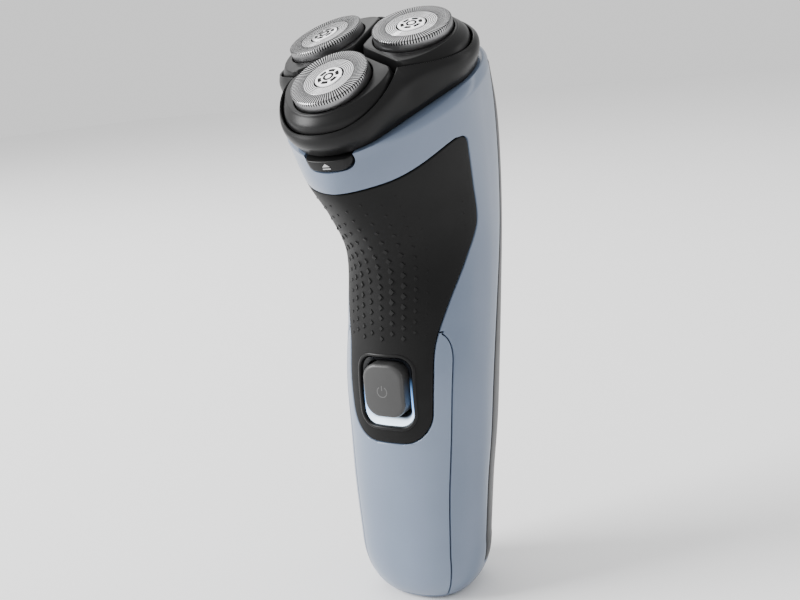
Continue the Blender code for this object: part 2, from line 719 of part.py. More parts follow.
def make_drive(finish):
    """Make the motor, its pinion, the three gears with their spindles and both plates."""
    module = 2 * SPINDLE_OFFSET / (PINION_TEETH + GEAR_TEETH)
    can = [
        (MOTOR_RADIUS - 0.9, MOTOR_BOTTOM_H),
        (MOTOR_RADIUS, MOTOR_BOTTOM_H + 0.8),
        (MOTOR_RADIUS, MOTOR_TOP_H - 0.8),
        (MOTOR_RADIUS - 0.9, MOTOR_TOP_H),
    ]
    add_object("motor_can", *turned(can, 24), finish["steel"], head_frame())
    cap = [(7.4, MOTOR_BOTTOM_H - 2.6), (8.2, MOTOR_BOTTOM_H - 2.0), (8.2, MOTOR_BOTTOM_H - GAP)]
    add_object("motor_end_cap", *turned(cap, 20), finish["nylon"], head_frame())
    drive_pivot = add_pivot("motor_axis", head_frame())
    pinion = gear_outline(PINION_TEETH, module, 0.0)
    shape = prism(pinion, GEAR_BOTTOM_H, GEAR_TOP_H)
    rotor = add_object("motor_pinion", *shape, finish["nylon"], head_frame(), drive_pivot)
    shaft = turned([(1.0, MOTOR_TOP_H + GAP), (1.0, GEAR_BOTTOM_H + 0.5)], 10)
    join(rotor, *shaft, head_frame(), "pinion_shaft_guide")
    lower = prism(hull_outline(10.0, 11.4, 36), -25.7, -24.4)
    plate = add_object("motor_plate", *lower, finish["black"], head_frame())
    cut(plate, *turned([(2.2, -26.5), (2.2, -23.5)], 12), head_frame(), "motor_shaft_cutter")
    deck = prism(hull_outline(LOBE_OFFSET, 12.7, 48), -16.6, -15.4)
    deck = add_object("drive_deck", *deck, finish["black"], head_frame())
    notch = prism(rounded_box(RELEASE_WIDTH + 0.8, 12.0, 0.5, 1), 0.0, 6.4)
    cut(deck, *notch, head_frame(0.0, -28.4, RELEASE_BOTTOM_H - 0.4), "deck_notch_cutter")
    seal_rings = []
    for corner, h in ((9.0, -15.1), (9.0, -13.6), (7.8, -13.6), (7.8, -15.1)):
        seal_rings.append([(x, y, h) for x, y in hull_outline(10.8, corner, 36)])
    add_object("neck_seal_ring", *loft(seal_rings, closed_profile=True), finish["rubber"], head_frame())
    for side, degrees in LOBE_ANGLES.items():
        frame = lobe_frame(side, SPINDLE_OFFSET)
        pivot = add_pivot(f"spindle_axis_{side}", frame)
        along = math.radians(degrees) / (math.tau / PINION_TEETH) % 1.0
        facing = math.tau / GEAR_TEETH * (along - 0.5)
        teeth = gear_outline(GEAR_TEETH, module, math.pi + facing)
        teeth = ring_prism(teeth, SPINDLE_RADIUS + GAP, GEAR_BOTTOM_H, GEAR_TOP_H)
        add_object(f"drive_gear_{side}", *teeth, finish["nylon"], frame, pivot)
        shaft = [
            (SPINDLE_RADIUS, GEAR_BOTTOM_H - 1.0),
            (SPINDLE_RADIUS, SPINDLE_TIP_H - 1.4),
            (SPINDLE_RADIUS - 0.5, SPINDLE_TIP_H),
        ]
        add_object(f"drive_spindle_{side}", *turned(shaft, 10), finish["steel"], frame, pivot)
        hole = turned([(2.4, -17.5), (2.4, -14.5)], 14)
        cut(deck, *hole, frame, f"deck_hole_cutter_{side}")


# ---------------------------------------------------------------- head
def collar_rings(count=48):
    """Return the rings of the collar, from its inner foot over the rim to its outer foot."""
    profile = [[] for _ in range(8)]
    for i in range(count):
        angle = -math.pi / 2 + math.tau * i / count
        top, rim = rim_point(angle)
        foot = hull_radius(angle, LOBE_OFFSET, COLLAR_CORNER)
        middle = (rim + COLLAR_BOTTOM_H) / 2
        bulge = top + 0.55 * (foot - top) + 1.0
        steps = (
            (foot - 2.2, COLLAR_BOTTOM_H),
            (max(top, foot - 2.2), COLLAR_BOTTOM_H + 4.0),
            (top, rim - 0.3),
            (top + 0.7, rim),
            (top + 0.7 * (bulge - top) + 0.5, rim + 0.45 * (middle - rim)),
            (bulge, middle),
            (foot, COLLAR_BOTTOM_H + 1.3),
            (foot - 0.5, COLLAR_BOTTOM_H),
        )
        for ring, (radius, h) in zip(profile, steps):
            ring.append((radius * math.cos(angle), radius * math.sin(angle), h))
    return profile


def make_head_frame(finish):
    """Make the collar with its hinge barrel, the pin and the plate inside."""
    axis = head_frame(0.0, HINGE_V, HINGE_H)
    pivot = add_pivot("head_hinge_axis", axis)
    shift = axis.inverted() @ head_frame()
    verts, faces = loft(collar_rings(), closed_profile=True)
    verts = [shift @ Vector(point) for point in verts]
    collar = add_object("head_collar", verts, faces, finish["black"], axis, pivot)
    sideways = axis @ Matrix.Rotation(math.pi / 2, 4, "Y")
    join(collar, *turned([(1.5, -5.0), (1.5, 5.0)], 12), sideways, "hinge_barrel_guide")
    cut(collar, *turned([(0.9, -6.0), (0.9, 6.0)], 10), sideways, "hinge_bore_cutter")
    add_object("head_hinge_pin", *turned([(0.6, -8.6), (0.6, 8.6)], 10), finish["steel"], sideways)
    plate = prism(hull_outline(15.0, 11.3, 48), -12.9, -11.7)
    plate = add_object("head_base_plate", *plate, finish["black"], head_frame(), pivot)
    for side in LOBE_ANGLES:
        hole = turned([(3.4, -13.9), (3.4, -10.7)], 16)
        cut(plate, *hole, lobe_frame(side, SPINDLE_OFFSET), f"plate_hole_cutter_{side}")
    post = [(3.6, -11.4), (3.0, -10.4), (3.0, -7.2), (2.4, -6.8)]
    add_object("centre_post", *turned(post, 16), finish["black"], head_frame(), pivot)
    return pivot


def petal_reach(angle):
    """Return how far the petal reaches from its guard's axis, at an angle from outwards."""
    s = math.sin(angle)
    c = math.cos(angle)
    splay = Matrix.Rotation(HEAD_SPLAY, 3, "Y")
    low, high = PETAL_HOLE, 2 * HEAD_OFFSET
    while high - low > PETAL_GAP / 100:
        reach = (low + high) / 2
        edge = splay @ Vector((reach * c, reach * s, PETAL_EDGE))
        edge.x += HEAD_OFFSET
        rim, _ = rim_point(math.atan2(edge.y, edge.x) - math.pi / 2)
        if edge.xy.length < rim - PETAL_GAP:
            low = reach
        else:
            high = reach
    inset = HEAD_OFFSET * math.sin(math.pi / 3) - GROOVE / 2
    for side in (-1, 1):
        toward = -c * math.sin(math.pi / 3) + side * s * math.cos(math.pi / 3)
        if toward > 1e-6:
            straight = inset / toward
            reach = 1.0 / (reach**-PETAL_CORNER + straight**-PETAL_CORNER) ** (1 / PETAL_CORNER)
    return reach


def make_petal(side, finish, parent):
    """Make one petal, the shell that carries a guard."""
    frame = shaving_frame(side)
    count = 48
    rings = [[] for _ in range(7)]
    for i in range(count):
        angle = math.tau * i / count
        reach = petal_reach(angle)
        slope = 0.5 + PETAL_SKIRT * smoothstep((math.cos(angle) + 0.6) / 1.6)
        steps = (
            (PETAL_HOLE, PETAL_BOTTOM),
            (PETAL_HOLE, PETAL_TOP),
            (max(reach - slope - 0.4, PETAL_HOLE + 0.25), PETAL_TOP),
            (max(reach - slope + 0.1, PETAL_HOLE + 0.6), PETAL_TOP - 0.45),
            (reach - slope * 0.4, -4.6),
            (reach, PETAL_EDGE),
            (reach - 0.2, PETAL_BOTTOM),
        )
        for ring, (radius, z) in zip(rings, steps):
            ring.append((radius * math.cos(angle), radius * math.sin(angle), z))
    return add_object(f"petal_{side}", *loft(rings, closed_profile=True), finish["black"], frame, parent)


def make_cutter(side, finish, frame, parent):
    """Make one rotating cutter: a star of blades on a hub with a drive socket."""
    blade = []
    for tooth in range(CUTTER_BLADES):
        centre = math.tau * tooth / CUTTER_BLADES
        for radius, turn in ((5.6, -0.15), (CUTTER_RADIUS, -0.02), (CUTTER_RADIUS, 0.13), (5.6, 0.12)):
            angle = centre + turn
            blade.append((radius * math.cos(angle), radius * math.sin(angle)))
    cutter = add_object(f"cutter_{side}", *prism(blade, -2.6, -1.1), finish["steel"], frame, parent)
    hub = [(2.6, -4.0), (2.6, -7.2), (3.6, -7.2), (3.6, -3.4)]
    hub += [(6.4, -3.2), (6.4, -2.2), (0.8, -2.2), (0.8, -4.0)]
    join(cutter, *turned(hub, 14, closed_profile=True), frame, f"cutter_hub_guide_{side}")


def make_shaving_heads(finish, hinge):
    """Make the three shaving heads: petal, guard, hub, retainer and cutter."""
    for side in LOBE_ANGLES:
        frame = shaving_frame(side)
        flex = frame @ Matrix.Translation((0.0, 0.0, -9.0))
        petal_pivot = add_pivot(f"petal_axis_{side}", flex, hinge)
        make_petal(side, finish, petal_pivot)
        retainer = [(5.0, -6.7), (10.3, -6.7), (10.3, -5.9), (5.0, -5.9)]
        shape = turned(retainer, 24, closed_profile=True)
        add_object(f"cutter_retainer_{side}", *shape, finish["nylon"], frame, petal_pivot)
        guard_pivot = add_pivot(f"guard_axis_{side}", frame, petal_pivot)
        guard = [
            (HUB_RADIUS + GAP, -0.8),
            (HUB_RADIUS + GAP, -0.2),
            (9.9, 0.0),
            (GUARD_RADIUS, -0.35),
            (GUARD_RADIUS, -GUARD_DEPTH),
            (GUARD_RADIUS - 0.6, -GUARD_DEPTH),
            (GUARD_RADIUS - 0.6, -0.8),
        ]
        shape = turned(guard, 30, closed_profile=True)
        add_object(f"guard_{side}", *shape, finish["steel"], frame, guard_pivot)
        hub = [(HUB_RADIUS - 0.2, -0.9), (HUB_RADIUS, -0.2), (HUB_RADIUS - 0.3, 0.0), (1.4, 0.1)]
        add_object(f"guard_hub_{side}", *turned(hub, 20), finish["steel"], frame, guard_pivot)
        cutter_pivot = add_pivot(f"cutter_axis_{side}", frame, guard_pivot)
        make_cutter(side, finish, frame, cutter_pivot)


def main():
    """Clear the scene and make the shaver."""
    for item in list(bpy.data.objects):
        bpy.data.objects.remove(item)
    finish = make_materials()
    make_shell(finish)
    make_power_button(finish)
    make_release_button(finish)
    make_electronics(finish)
    make_drive(finish)
    hinge = make_head_frame(finish)
    make_shaving_heads(finish, hinge)


main()
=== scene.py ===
"""Looks of a cordless rotary shaver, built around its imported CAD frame.

Sizes are in millimetres; MM turns them into metres when a mesh is made.  The origin is
the centre of the flat foot under the handle, +Z is up and the front faces -Y.
"""
import logging
import math
from dataclasses import dataclass
from enum import Enum
from typing import NamedTuple, Optional, Sequence, Union

import bmesh
import bpy
import numpy as np
from mathutils import Matrix, Vector


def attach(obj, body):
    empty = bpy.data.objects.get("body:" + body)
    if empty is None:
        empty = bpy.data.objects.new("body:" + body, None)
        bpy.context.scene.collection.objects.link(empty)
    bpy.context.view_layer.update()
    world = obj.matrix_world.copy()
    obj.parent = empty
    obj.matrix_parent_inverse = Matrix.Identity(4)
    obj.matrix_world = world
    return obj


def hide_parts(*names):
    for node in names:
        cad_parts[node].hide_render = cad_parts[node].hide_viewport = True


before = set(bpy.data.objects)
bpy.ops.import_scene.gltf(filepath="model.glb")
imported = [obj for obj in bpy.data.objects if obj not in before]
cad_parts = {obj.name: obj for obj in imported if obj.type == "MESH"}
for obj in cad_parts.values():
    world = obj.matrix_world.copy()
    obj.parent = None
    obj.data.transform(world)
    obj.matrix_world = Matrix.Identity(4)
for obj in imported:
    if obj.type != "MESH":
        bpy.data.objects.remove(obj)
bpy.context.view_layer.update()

MM = 0.001
SHARP = 35.0
LOG = logging.getLogger("shaver")

Colour = tuple[float, float, float]
Faces = list[list[int]]
Profile = Sequence[tuple[float, float]]
Number = Union[float, "Value"]


# ---------------------------------------------------------------- nodes
class Value:
    """A number that varies over a surface; Python's operators add Math nodes to its tree."""

    def __init__(self, book: "NodeBook", socket: bpy.types.NodeSocket) -> None:
        """Keep the socket that carries the number, and the book that adds nodes."""
        self.book = book
        self.socket = socket

    def _math(self, operation: str, *terms: Number) -> "Value":
        """Add one Math node.

        Args:
            operation: The Math node's operation.
            terms: The node's inputs in order.

        Returns:
            The node's result.
        """
        made = self.book.node("ShaderNodeMath", {"operation": operation}, dict(enumerate(terms)))
        return Value(self.book, made.outputs[0])

    def __add__(self, other: Number) -> "Value":
        """Return self + other."""
        return self._math("ADD", self, other)

    def __radd__(self, other: Number) -> "Value":
        """Return other + self."""
        return self._math("ADD", other, self)

    def __sub__(self, other: Number) -> "Value":
        """Return self - other."""
        return self._math("SUBTRACT", self, other)

    def __rsub__(self, other: Number) -> "Value":
        """Return other - self."""
        return self._math("SUBTRACT", other, self)

    def __mul__(self, other: Number) -> "Value":
        """Return self * other."""
        return self._math("MULTIPLY", self, other)

    def __rmul__(self, other: Number) -> "Value":
        """Return other * self."""
        return self._math("MULTIPLY", other, self)

    def __truediv__(self, other: Number) -> "Value":
        """Return self / other."""
        return self._math("DIVIDE", self, other)

    def __pow__(self, other: Number) -> "Value":
        """Return self ** other."""
        return self._math("POWER", self, other)

    def sine(self) -> "Value":
        """Return the sine of the value."""
        return self._math("SINE", self)

    def clamped(self) -> "Value":
        """Return the value held between 0 and 1."""
        return self._math("MINIMUM", self._math("MAXIMUM", self, 0.0), 1.0)

    def eased(self, low: float, high: float) -> "Value":
        """Return 0 at low, 1 at high and a smooth step between them."""
        step = ((self - low) * (1.0 / (high - low))).clamped()
        return step * step * (3.0 - 2.0 * step)


class NodeBook:
    """Adds nodes of any kind to one node tree."""

    def __init__(self, tree: bpy.types.NodeTree) -> None:
        """Start with an empty tree."""
        self.tree = tree
        tree.nodes.clear()

    def node(
        self,
        kind: str,
        settings: Optional[dict[str, object]] = None,
        sockets: Optional[dict[Union[int, str], object]] = None,
    ) -> bpy.types.Node:
        """Add one node.

        Args:
            kind: The node's type.
            settings: Attributes, set first; "stops" holds a ramp's (place, colour) pairs.
            sockets: Input values, or the sockets and Values that feed them.

        Returns:
            The new node.
        """
        made = self.tree.nodes.new(kind)
        for name, value in (settings or {}).items():
            if name == "stops":
                self._set_stops(made, value)
            else:
                setattr(made, name, value)
        for name, value in (sockets or {}).items():
            source = value.socket if isinstance(value, Value) else value
            if isinstance(source, bpy.types.NodeSocket):
                self.tree.links.new(source, made.inputs[name])
            else:
                made.inputs[name].default_value = source
        return made

    @staticmethod
    def _set_stops(ramp: bpy.types.Node, stops: Sequence[tuple[float, Colour]]) -> None:
        """Give a colour ramp its stops.

        Args:
            ramp: The ramp's node.
            stops: The (place, colour) pairs in order.
        """
        elements = ramp.color_ramp.elements
        while len(elements) < len(stops):
            elements.new(1.0)
        for element, (place, colour) in zip(elements, stops):
            element.position = place
            element.color = (*colour, 1.0)


class MaterialBook(NodeBook):
    """Adds nodes to a new material and ends it in one surface shader."""

    def __init__(self, name: str, local: Optional[Matrix] = None) -> None:
        """Start a material.

        Args:
            name: The material's name.
            local: The frame, in metres, that patterns are centred on; the world if left out.
        """
        self.material = bpy.data.materials.new(name)
        self.material.use_nodes = True
        super().__init__(self.material.node_tree)
        self.place = self.node("ShaderNodeTexCoord").outputs["Object"]
        if local is not None:
            back = local.inverted()
            turn = {"Location": back.translation, "Rotation": back.to_euler()}
            mapping = self.node("ShaderNodeMapping", None, {"Vector": self.place, **turn})
            self.place = mapping.outputs[0]

    def noise(self, size: float, detail: float = 2.0, stretch: Optional[Colour] = None) -> Value:
        """Return a noise pattern.

        Args:
            size: The pattern's grain in millimetres.
            detail: Octaves of finer noise.
            stretch: Scale along each axis, for a brushed or rolled look.

        Returns:
            The noise, from 0 to 1.
        """
        place = self.place
        if stretch is not None:
            scaled = {"Vector": place, "Scale": stretch}
            place = self.node("ShaderNodeMapping", None, scaled).outputs[0]
        sockets = {"Vector": place, "Scale": 1.0 / (size * MM), "Detail": detail}
        made = self.node("ShaderNodeTexNoise", None, sockets)
        return Value(self, made.outputs[0])

    def axis(self, index: int) -> Value:
        """Return one coordinate in millimetres: 0 is X, 1 is Y, 2 is Z."""
        split = self.node("ShaderNodeSeparateXYZ", None, {0: self.place})
        return Value(self, split.outputs[index]) * (1.0 / MM)

    def mix(self, factor: Number, low: object, high: object) -> bpy.types.NodeSocket:
        """Mix two colours.

        Args:
            factor: 0 gives low, 1 gives high.
            low: A colour or a colour socket.
            high: A colour or a colour socket.

        Returns:
            The mixed colour's socket.
        """
        ends = [(*end, 1.0) if isinstance(end, tuple) else end for end in (low, high)]
        settings = {"data_type": "RGBA", "clamp_factor": True}
        made = self.node("ShaderNodeMix", settings, {0: factor, 6: ends[0], 7: ends[1]})
        return made.outputs[2]

    def bump(self, height: Value, depth: float) -> bpy.types.NodeSocket:
        """Return a normal for a height pattern whose full depth is given in millimetres."""
        sockets = {"Height": height, "Distance": depth * MM, "Strength": 1.0}
        return self.node("ShaderNodeBump", None, sockets).outputs[0]

    def finish(self, sockets: dict[str, object]) -> bpy.types.Material:
        """End the material in a Principled shader.

        Args:
            sockets: Values or links of the shader's inputs.

        Returns:
            The finished material.
        """
        shader = self.node("ShaderNodeBsdfPrincipled", None, sockets)
        self.node("ShaderNodeOutputMaterial", None, {"Surface": shader.outputs[0]})
        return self.material


# ---------------------------------------------------------------- finishes
@dataclass(frozen=True)
class Moulded:
    """Moulded plastic or rubber: a cloudy tint, a fine surface grain and uneven gloss."""

    name: str
    colour: Colour
    tint: Colour
    roughness: float
    grain: float
    depth: float
    coat: float = 0.0
    uneven: float = 0.08
    specular: float = 0.5
    flake: float = 0.0
    cloud_size: float = 22.0
    patch_size: float = 3.5
    flake_size: float = 0.12
    coat_roughness: float = 0.12

    def build(self) -> bpy.types.Material:
        """Make the material.

        Returns:
            The finished material.
        """
        book = MaterialBook(self.name)
        cloud = book.noise(self.cloud_size, 3.0).eased(0.35, 0.65)
        grain = book.noise(self.grain, 2.0)
        colour = book.mix(cloud, self.colour, self.tint)
        if self.flake > 0.0:
            fleck = book.noise(self.flake_size, 1.0).eased(0.5, 0.75) * self.flake
            pale = tuple(min(1.0, 1.6 * channel + 0.05) for channel in self.tint)
            colour = book.mix(fleck, colour, pale)
        gloss = self.roughness + self.uneven * (book.noise(self.patch_size, 3.0) - 0.5)
        sockets = {
            "Base Color": colour,
            "Roughness": gloss,
            "Normal": book.bump(grain, self.depth),
            "Coat Weight": self.coat,
            "Coat Roughness": self.coat_roughness,
            "Specular IOR Level": self.specular,
        }
        return book.finish(sockets)


@dataclass(frozen=True)
class Metal:
    """Metal with turned or brushed lines, a slight change of tone and, where grooves are set, painted
    shade in the grooves.
    """

    name: str
    colour: Colour
    tint: Colour
    roughness: float
    line: float
    depth: float
    turned: bool = True
    groove: float = 0.0
    # Share of the colour left in the painted shade of the grooves.
    groove_shade: float = 0.12
    cloud_size: float = 4.0

    def build(self, local: Optional[Matrix] = None) -> bpy.types.Material:
        """Make the material, with its lines turned about an axis.

        Args:
            local: The frame in metres whose Z is the axis; the world if left out.

        Returns:
            The finished material.
        """
        book = MaterialBook(self.name, local)
        if self.turned:
            x, y = book.axis(0), book.axis(1)
            radius = (x * x + y * y) ** 0.5
            settings = {"noise_dimensions": "1D"}
            sockets = {"W": radius, "Scale": 1.0 / self.line, "Detail": 2.0}
            lines = Value(book, book.node("ShaderNodeTexNoise", settings, sockets).outputs[0])
        else:
            lines = book.noise(self.line, 3.0, (1.0, 1.0, 0.04))
        cloud = book.noise(self.cloud_size, 3.0)
        colour = book.mix(lines.eased(0.3, 0.7), self.colour, self.tint)
        # Painted shade: the base colour darkens in a wave along the radius, standing in for shade in
        # the grooves.
        if self.groove > 0.0:
            wave = (radius * (math.tau / self.groove)).sine().eased(-0.1, 0.6)
            shade = tuple(self.groove_shade * channel for channel in self.colour)
            colour = book.mix(wave, shade, colour)
        sockets = {
            "Base Color": colour,
            "Roughness": self.roughness + 0.08 * (lines - 0.5) + 0.04 * (cloud - 0.5),
            "Metallic": 1.0,
            "Normal": book.bump(lines, self.depth),
        }
        return book.finish(sockets)


@dataclass(frozen=True)
class LightGuide:
    """Clear guide that glows white at the bottom of the button and blue up its sides."""

    name: str
    low: float
    high: float
    strength: float
    fade_start: float = 5.0
    white_rise: float = 7.0
    depths: tuple[float, float] = (11.4, 12.8)
    blue_glow: Colour = (0.16, 0.42, 0.95)
    white_glow: Colour = (0.82, 0.93, 1.0)
    unlit: Colour = (0.004, 0.005, 0.007)
    lit: Colour = (0.45, 0.6, 0.8)

    def build(self) -> bpy.types.Material:
        """Make the material.

        Returns:
            The finished material.
        """
        book = MaterialBook(self.name)
        height = book.axis(2)
        outward = 0.0 - book.axis(1)
        lit = 1.0 - height.eased(self.low + self.fade_start, self.high)
        white = 1.0 - height.eased(self.low, self.low + self.white_rise)
        glow = book.mix(white, self.blue_glow, self.white_glow)
        edge = outward.eased(*self.depths) * (0.92 + 0.16 * book.noise(2.0))
        emission = book.mix(lit * edge, (0.0, 0.0, 0.0), glow)
        base = book.mix(lit * edge, self.unlit, self.lit)
        sockets = {
            "Base Color": base,
            "Roughness": 0.25 + 0.1 * book.noise(1.5),
            "Emission Color": emission,
            "Emission Strength": self.strength,
        }
        return book.finish(sockets)


@dataclass(frozen=True)
class Board:
    """Circuit board: green lacquer over a net of copper traces."""

    name: str
    lacquer: Colour = (0.01, 0.09, 0.035)
    trace: Colour = (0.06, 0.24, 0.09)
    cells_per_metre: float = 450.0

    def build(self) -> bpy.types.Material:
        """Make the material.

        Returns:
            The finished material.
        """
        book = MaterialBook(self.name)
        settings = {"feature": "DISTANCE_TO_EDGE"}
        sockets = {"Vector": book.place, "Scale": self.cells_per_metre}
        cells = book.node("ShaderNodeTexVoronoi", settings, sockets)
        trace = 1.0 - Value(book, cells.outputs[0]).eased(0.02, 0.06)
        sockets = {
            "Base Color": book.mix(trace, self.lacquer, self.trace),
            "Roughness": 0.35 + 0.1 * book.noise(0.8),
            "Normal": book.bump(trace, 0.03),
        }
        return book.finish(sockets)


@dataclass(frozen=True)
class Paper:
    """Plain pale studio floor."""

    name: str
    colour: Colour

    def build(self) -> bpy.types.Material:
        """Make the material.

        Returns:
            The finished material.
        """
        book = MaterialBook(self.name)
        tint = tuple(0.985 * channel for channel in self.colour)
        sockets = {
            "Base Color": book.mix(book.noise(60.0), self.colour, tint),
            "Roughness": 0.85 + 0.05 * book.noise(9.0),
        }
        return book.finish(sockets)


class Slot(Enum):
    """Names of the record's material slots."""

    HOUSING = "blue_housing"
    COVER = "blue_cover"
    RUBBER = "charcoal_rubber"
    BLACK = "black_plastic"
    REAR = "dark_grey_plastic"
    BUTTON = "button_grey"
    LIGHT = "light_guide"
    STEEL = "brushed_steel"


def even(value: float) -> Colour:
    """Return a neutral grey."""
    return (value, value, value)


BLUE = Moulded(
    "pearl_blue", (0.105, 0.140, 0.205), (0.114, 0.150, 0.218), 0.33, 0.35, 0.004, 0.3, flake=0.08
)
PALE_BLUE = Moulded(
    "pearl_pale_blue", (0.132, 0.172, 0.245), (0.142, 0.184, 0.260), 0.33, 0.35, 0.004, 0.3, flake=0.08
)
RUBBER = Moulded("charcoal_rubber", even(0.0075), even(0.0095), 0.55, 0.22, 0.015, specular=0.1)
BLACK = Moulded(
    "satin_black", (0.0055, 0.0055, 0.0057), (0.007, 0.007, 0.0072), 0.34, 0.18, 0.005, specular=0.18
)
GREY = Moulded(
    "dark_grey", (0.018, 0.019, 0.021), (0.022, 0.023, 0.026), 0.42, 0.2, 0.01, specular=0.3
)
BUTTON_GREY = Moulded("button_charcoal", even(0.036), even(0.042), 0.38, 0.15, 0.006, specular=0.35)
MARK_GREY = Moulded("mark_grey", even(0.085), even(0.1), 0.3, 0.1, 0.004)
MARK_SILVER = Moulded("mark_silver", (0.42, 0.42, 0.43), (0.48, 0.48, 0.49), 0.3, 0.1, 0.004)
# Dark marks on the hubs; the same material makes the dark sheet under the ribs, painted shade in the
# slots.
DARK_MARKS_AND_SLOT_SHADE = Moulded("mark_dark", even(0.006), even(0.009), 0.6, 0.1, 0.004, specular=0.08)
NYLON = Moulded("white_nylon", (0.5, 0.49, 0.46), (0.56, 0.55, 0.52), 0.5, 0.3, 0.01)
WRAP = Moulded("battery_wrap", (0.02, 0.05, 0.2), (0.03, 0.07, 0.26), 0.3, 0.5, 0.01, 0.4)
STEEL = Metal("turned_steel", (0.60, 0.60, 0.61), (0.72, 0.72, 0.73), 0.25, 0.3, 0.002)
# Rib steel: the guard's steel with a darker tone that is painted shade between the slots.
RIB_STEEL = Metal("rib_steel", (0.31, 0.31, 0.315), (0.40, 0.40, 0.405), 0.27, 0.3, 0.002)
# Grooved ring steel: its grooves carry painted shade in the base colour.
RING_STEEL = Metal(
    "grooved_steel", (0.70, 0.70, 0.71), (0.82, 0.82, 0.83), 0.24, 0.3, 0.002, groove=0.46
)
# Hub steel: polished, with a near-white base tone that is painted highlight.
HUB_STEEL = Metal("polished_steel", (0.88, 0.88, 0.89), (0.95, 0.95, 0.96), 0.2, 0.3, 0.0015)
# Wall steel: the guard's steel with a dark tone that is painted shade on the side wall, in the gap
# round the guard.
WALL_STEEL = Metal("satin_steel", (0.20, 0.20, 0.205), (0.25, 0.25, 0.255), 0.34, 0.3, 0.002)
# Cutter steel: coloured almost black as painted shade inside the heads, seen through the slots.
DARK_STEEL = Metal("dark_steel", (0.03, 0.03, 0.032), (0.05, 0.05, 0.052), 0.45, 0.3, 0.004)
PLAIN_STEEL = Metal("drawn_steel", (0.46, 0.46, 0.47), (0.6, 0.6, 0.61), 0.3, 0.3, 0.003, turned=False)
BRASS = Metal("brass", (0.62, 0.42, 0.16), (0.74, 0.52, 0.22), 0.25, 0.3, 0.003, turned=False)
GLOW = LightGuide("light_guide", 54.5, 69.0, 2.2)
GREEN_BOARD = Board("green_board")
FLOOR = Paper("pale_floor", even(0.95))


# ---------------------------------------------------------------- frames
HEAD_CENTRE = Vector((0.0, -12.0, 157.0))
HEAD_TILT = math.radians(28.8)
HEAD_OFFSET = 15.27
HEAD_SPLAY = math.radians(6.4)
RIM_LOBE_RADIUS = 28.9
RIM_LOBE_H = -7.5
RIM_VALLEY_RADIUS = 17.6
RIM_VALLEY_H = -2.8


class Lobe(Enum):
    """The three shaving heads, with the direction of each on the head, in degrees."""

    FRONT = -90.0
    RIGHT = 30.0
    LEFT = 150.0

    @property
    def side(self) -> str:
        """Return the word that ends the names of the lobe's nodes."""
        return self.name.lower()


def head_frame(x: float = 0.0, v: float = 0.0, h: float = 0.0) -> Matrix:
    """Return the matrix of a point of the head frame: v along the head plane, h out of it."""
    tilt = Matrix.Rotation(HEAD_TILT, 4, "X")
    return Matrix.Translation(HEAD_CENTRE) @ tilt @ Matrix.Translation((x, v, h))


def lobe_frame(lobe: Lobe, offset: float = 0.0) -> Matrix:
    """Return the head frame turned so that +X points out through one lobe."""
    turn = Matrix.Rotation(math.radians(lobe.value), 4, "Z")
    return head_frame() @ turn @ Matrix.Translation((offset, 0.0, 0.0))


def guard_frame(lobe: Lobe) -> Matrix:
    """Return the frame of one guard: origin in its rim plane, +Z along its axis."""
    return lobe_frame(lobe, HEAD_OFFSET) @ Matrix.Rotation(HEAD_SPLAY, 4, "Y")


def front_frame(z: float) -> Matrix:
    """Return a frame at a height whose +Z points out of the front."""
    return Matrix.Translation((0.0, 0.0, z)) @ Matrix.Rotation(math.pi / 2, 4, "X")


def metres(place: Matrix) -> Matrix:
    """Turn a frame from millimetres into metres.

    Args:
        place: The frame in millimetres.

    Returns:
        The same frame with its place in metres.
    """
    result = place.copy()
    result.translation = place.translation * MM
    return result


def moved(place: Matrix, points: np.ndarray) -> np.ndarray:
    """Return points taken from a frame to the world."""
    matrix = np.array(place)
    return points @ matrix[:3, :3].T + matrix[:3, 3]


# ---------------------------------------------------------------- meshes
def smoothstep(value: np.ndarray) -> np.ndarray:
    """Ease from 0 to 1."""
    held = np.clip(value, 0.0, 1.0)
    return held * held * (3.0 - 2.0 * held)


class Ramp(NamedTuple):
    """A smooth step from 0 to 1: where it starts and how far it takes."""

    start: float
    span: float

    def at(self, value: np.ndarray) -> np.ndarray:
        """Return the height of the step at a value."""
        return smoothstep((value - self.start) / self.span)


def between(knots: Sequence[np.ndarray], share: Union[float, np.ndarray]) -> np.ndarray:
    """Find a point of the smooth curve between the second and the third of four knots.

    Args:
        knots: Four knots in order.
        share: How far along, from 0 at the second knot to 1 at the third.

    Returns:
        The point.
    """
    before, here, there, after = knots
    low, high, rise = (there - before) / 2, (after - here) / 2, there - here
    bend = (3 * rise - 2 * low - high) * share**2
    return here + low * share + bend + (low + high - 2 * rise) * share**3


def extended(knots: np.ndarray) -> np.ndarray:
    """Return a row of knots with one more at each end, in line with its neighbours."""
    return np.concatenate([[2 * knots[0] - knots[1]], knots, [2 * knots[-1] - knots[-2]]])


def curve_through(knots: np.ndarray, steps: int = 6) -> list[tuple[np.ndarray, np.ndarray]]:
    """Find the points of a smooth curve through a row of knots.

    Args:
        knots: The knots, each a radius and a height for every angle.
        steps: Points for each span between two knots.

    Returns:
        The points in order, up to the last knot and without it.
    """
    row = extended(knots)
    shares = np.linspace(0.0, 1.0, steps, endpoint=False)
    spans = range(len(knots) - 1)
    return [tuple(between(row[span : span + 4], share)) for span in spans for share in shares]


def quarter_turn(steps: int) -> list[tuple[float, float]]:
    """Return 1 - cos and 1 - sin at even steps of a quarter circle."""
    swings = [math.radians(90.0 * step / steps) for step in range(steps + 1)]
    return [(1 - math.cos(swing), 1 - math.sin(swing)) for swing in swings]


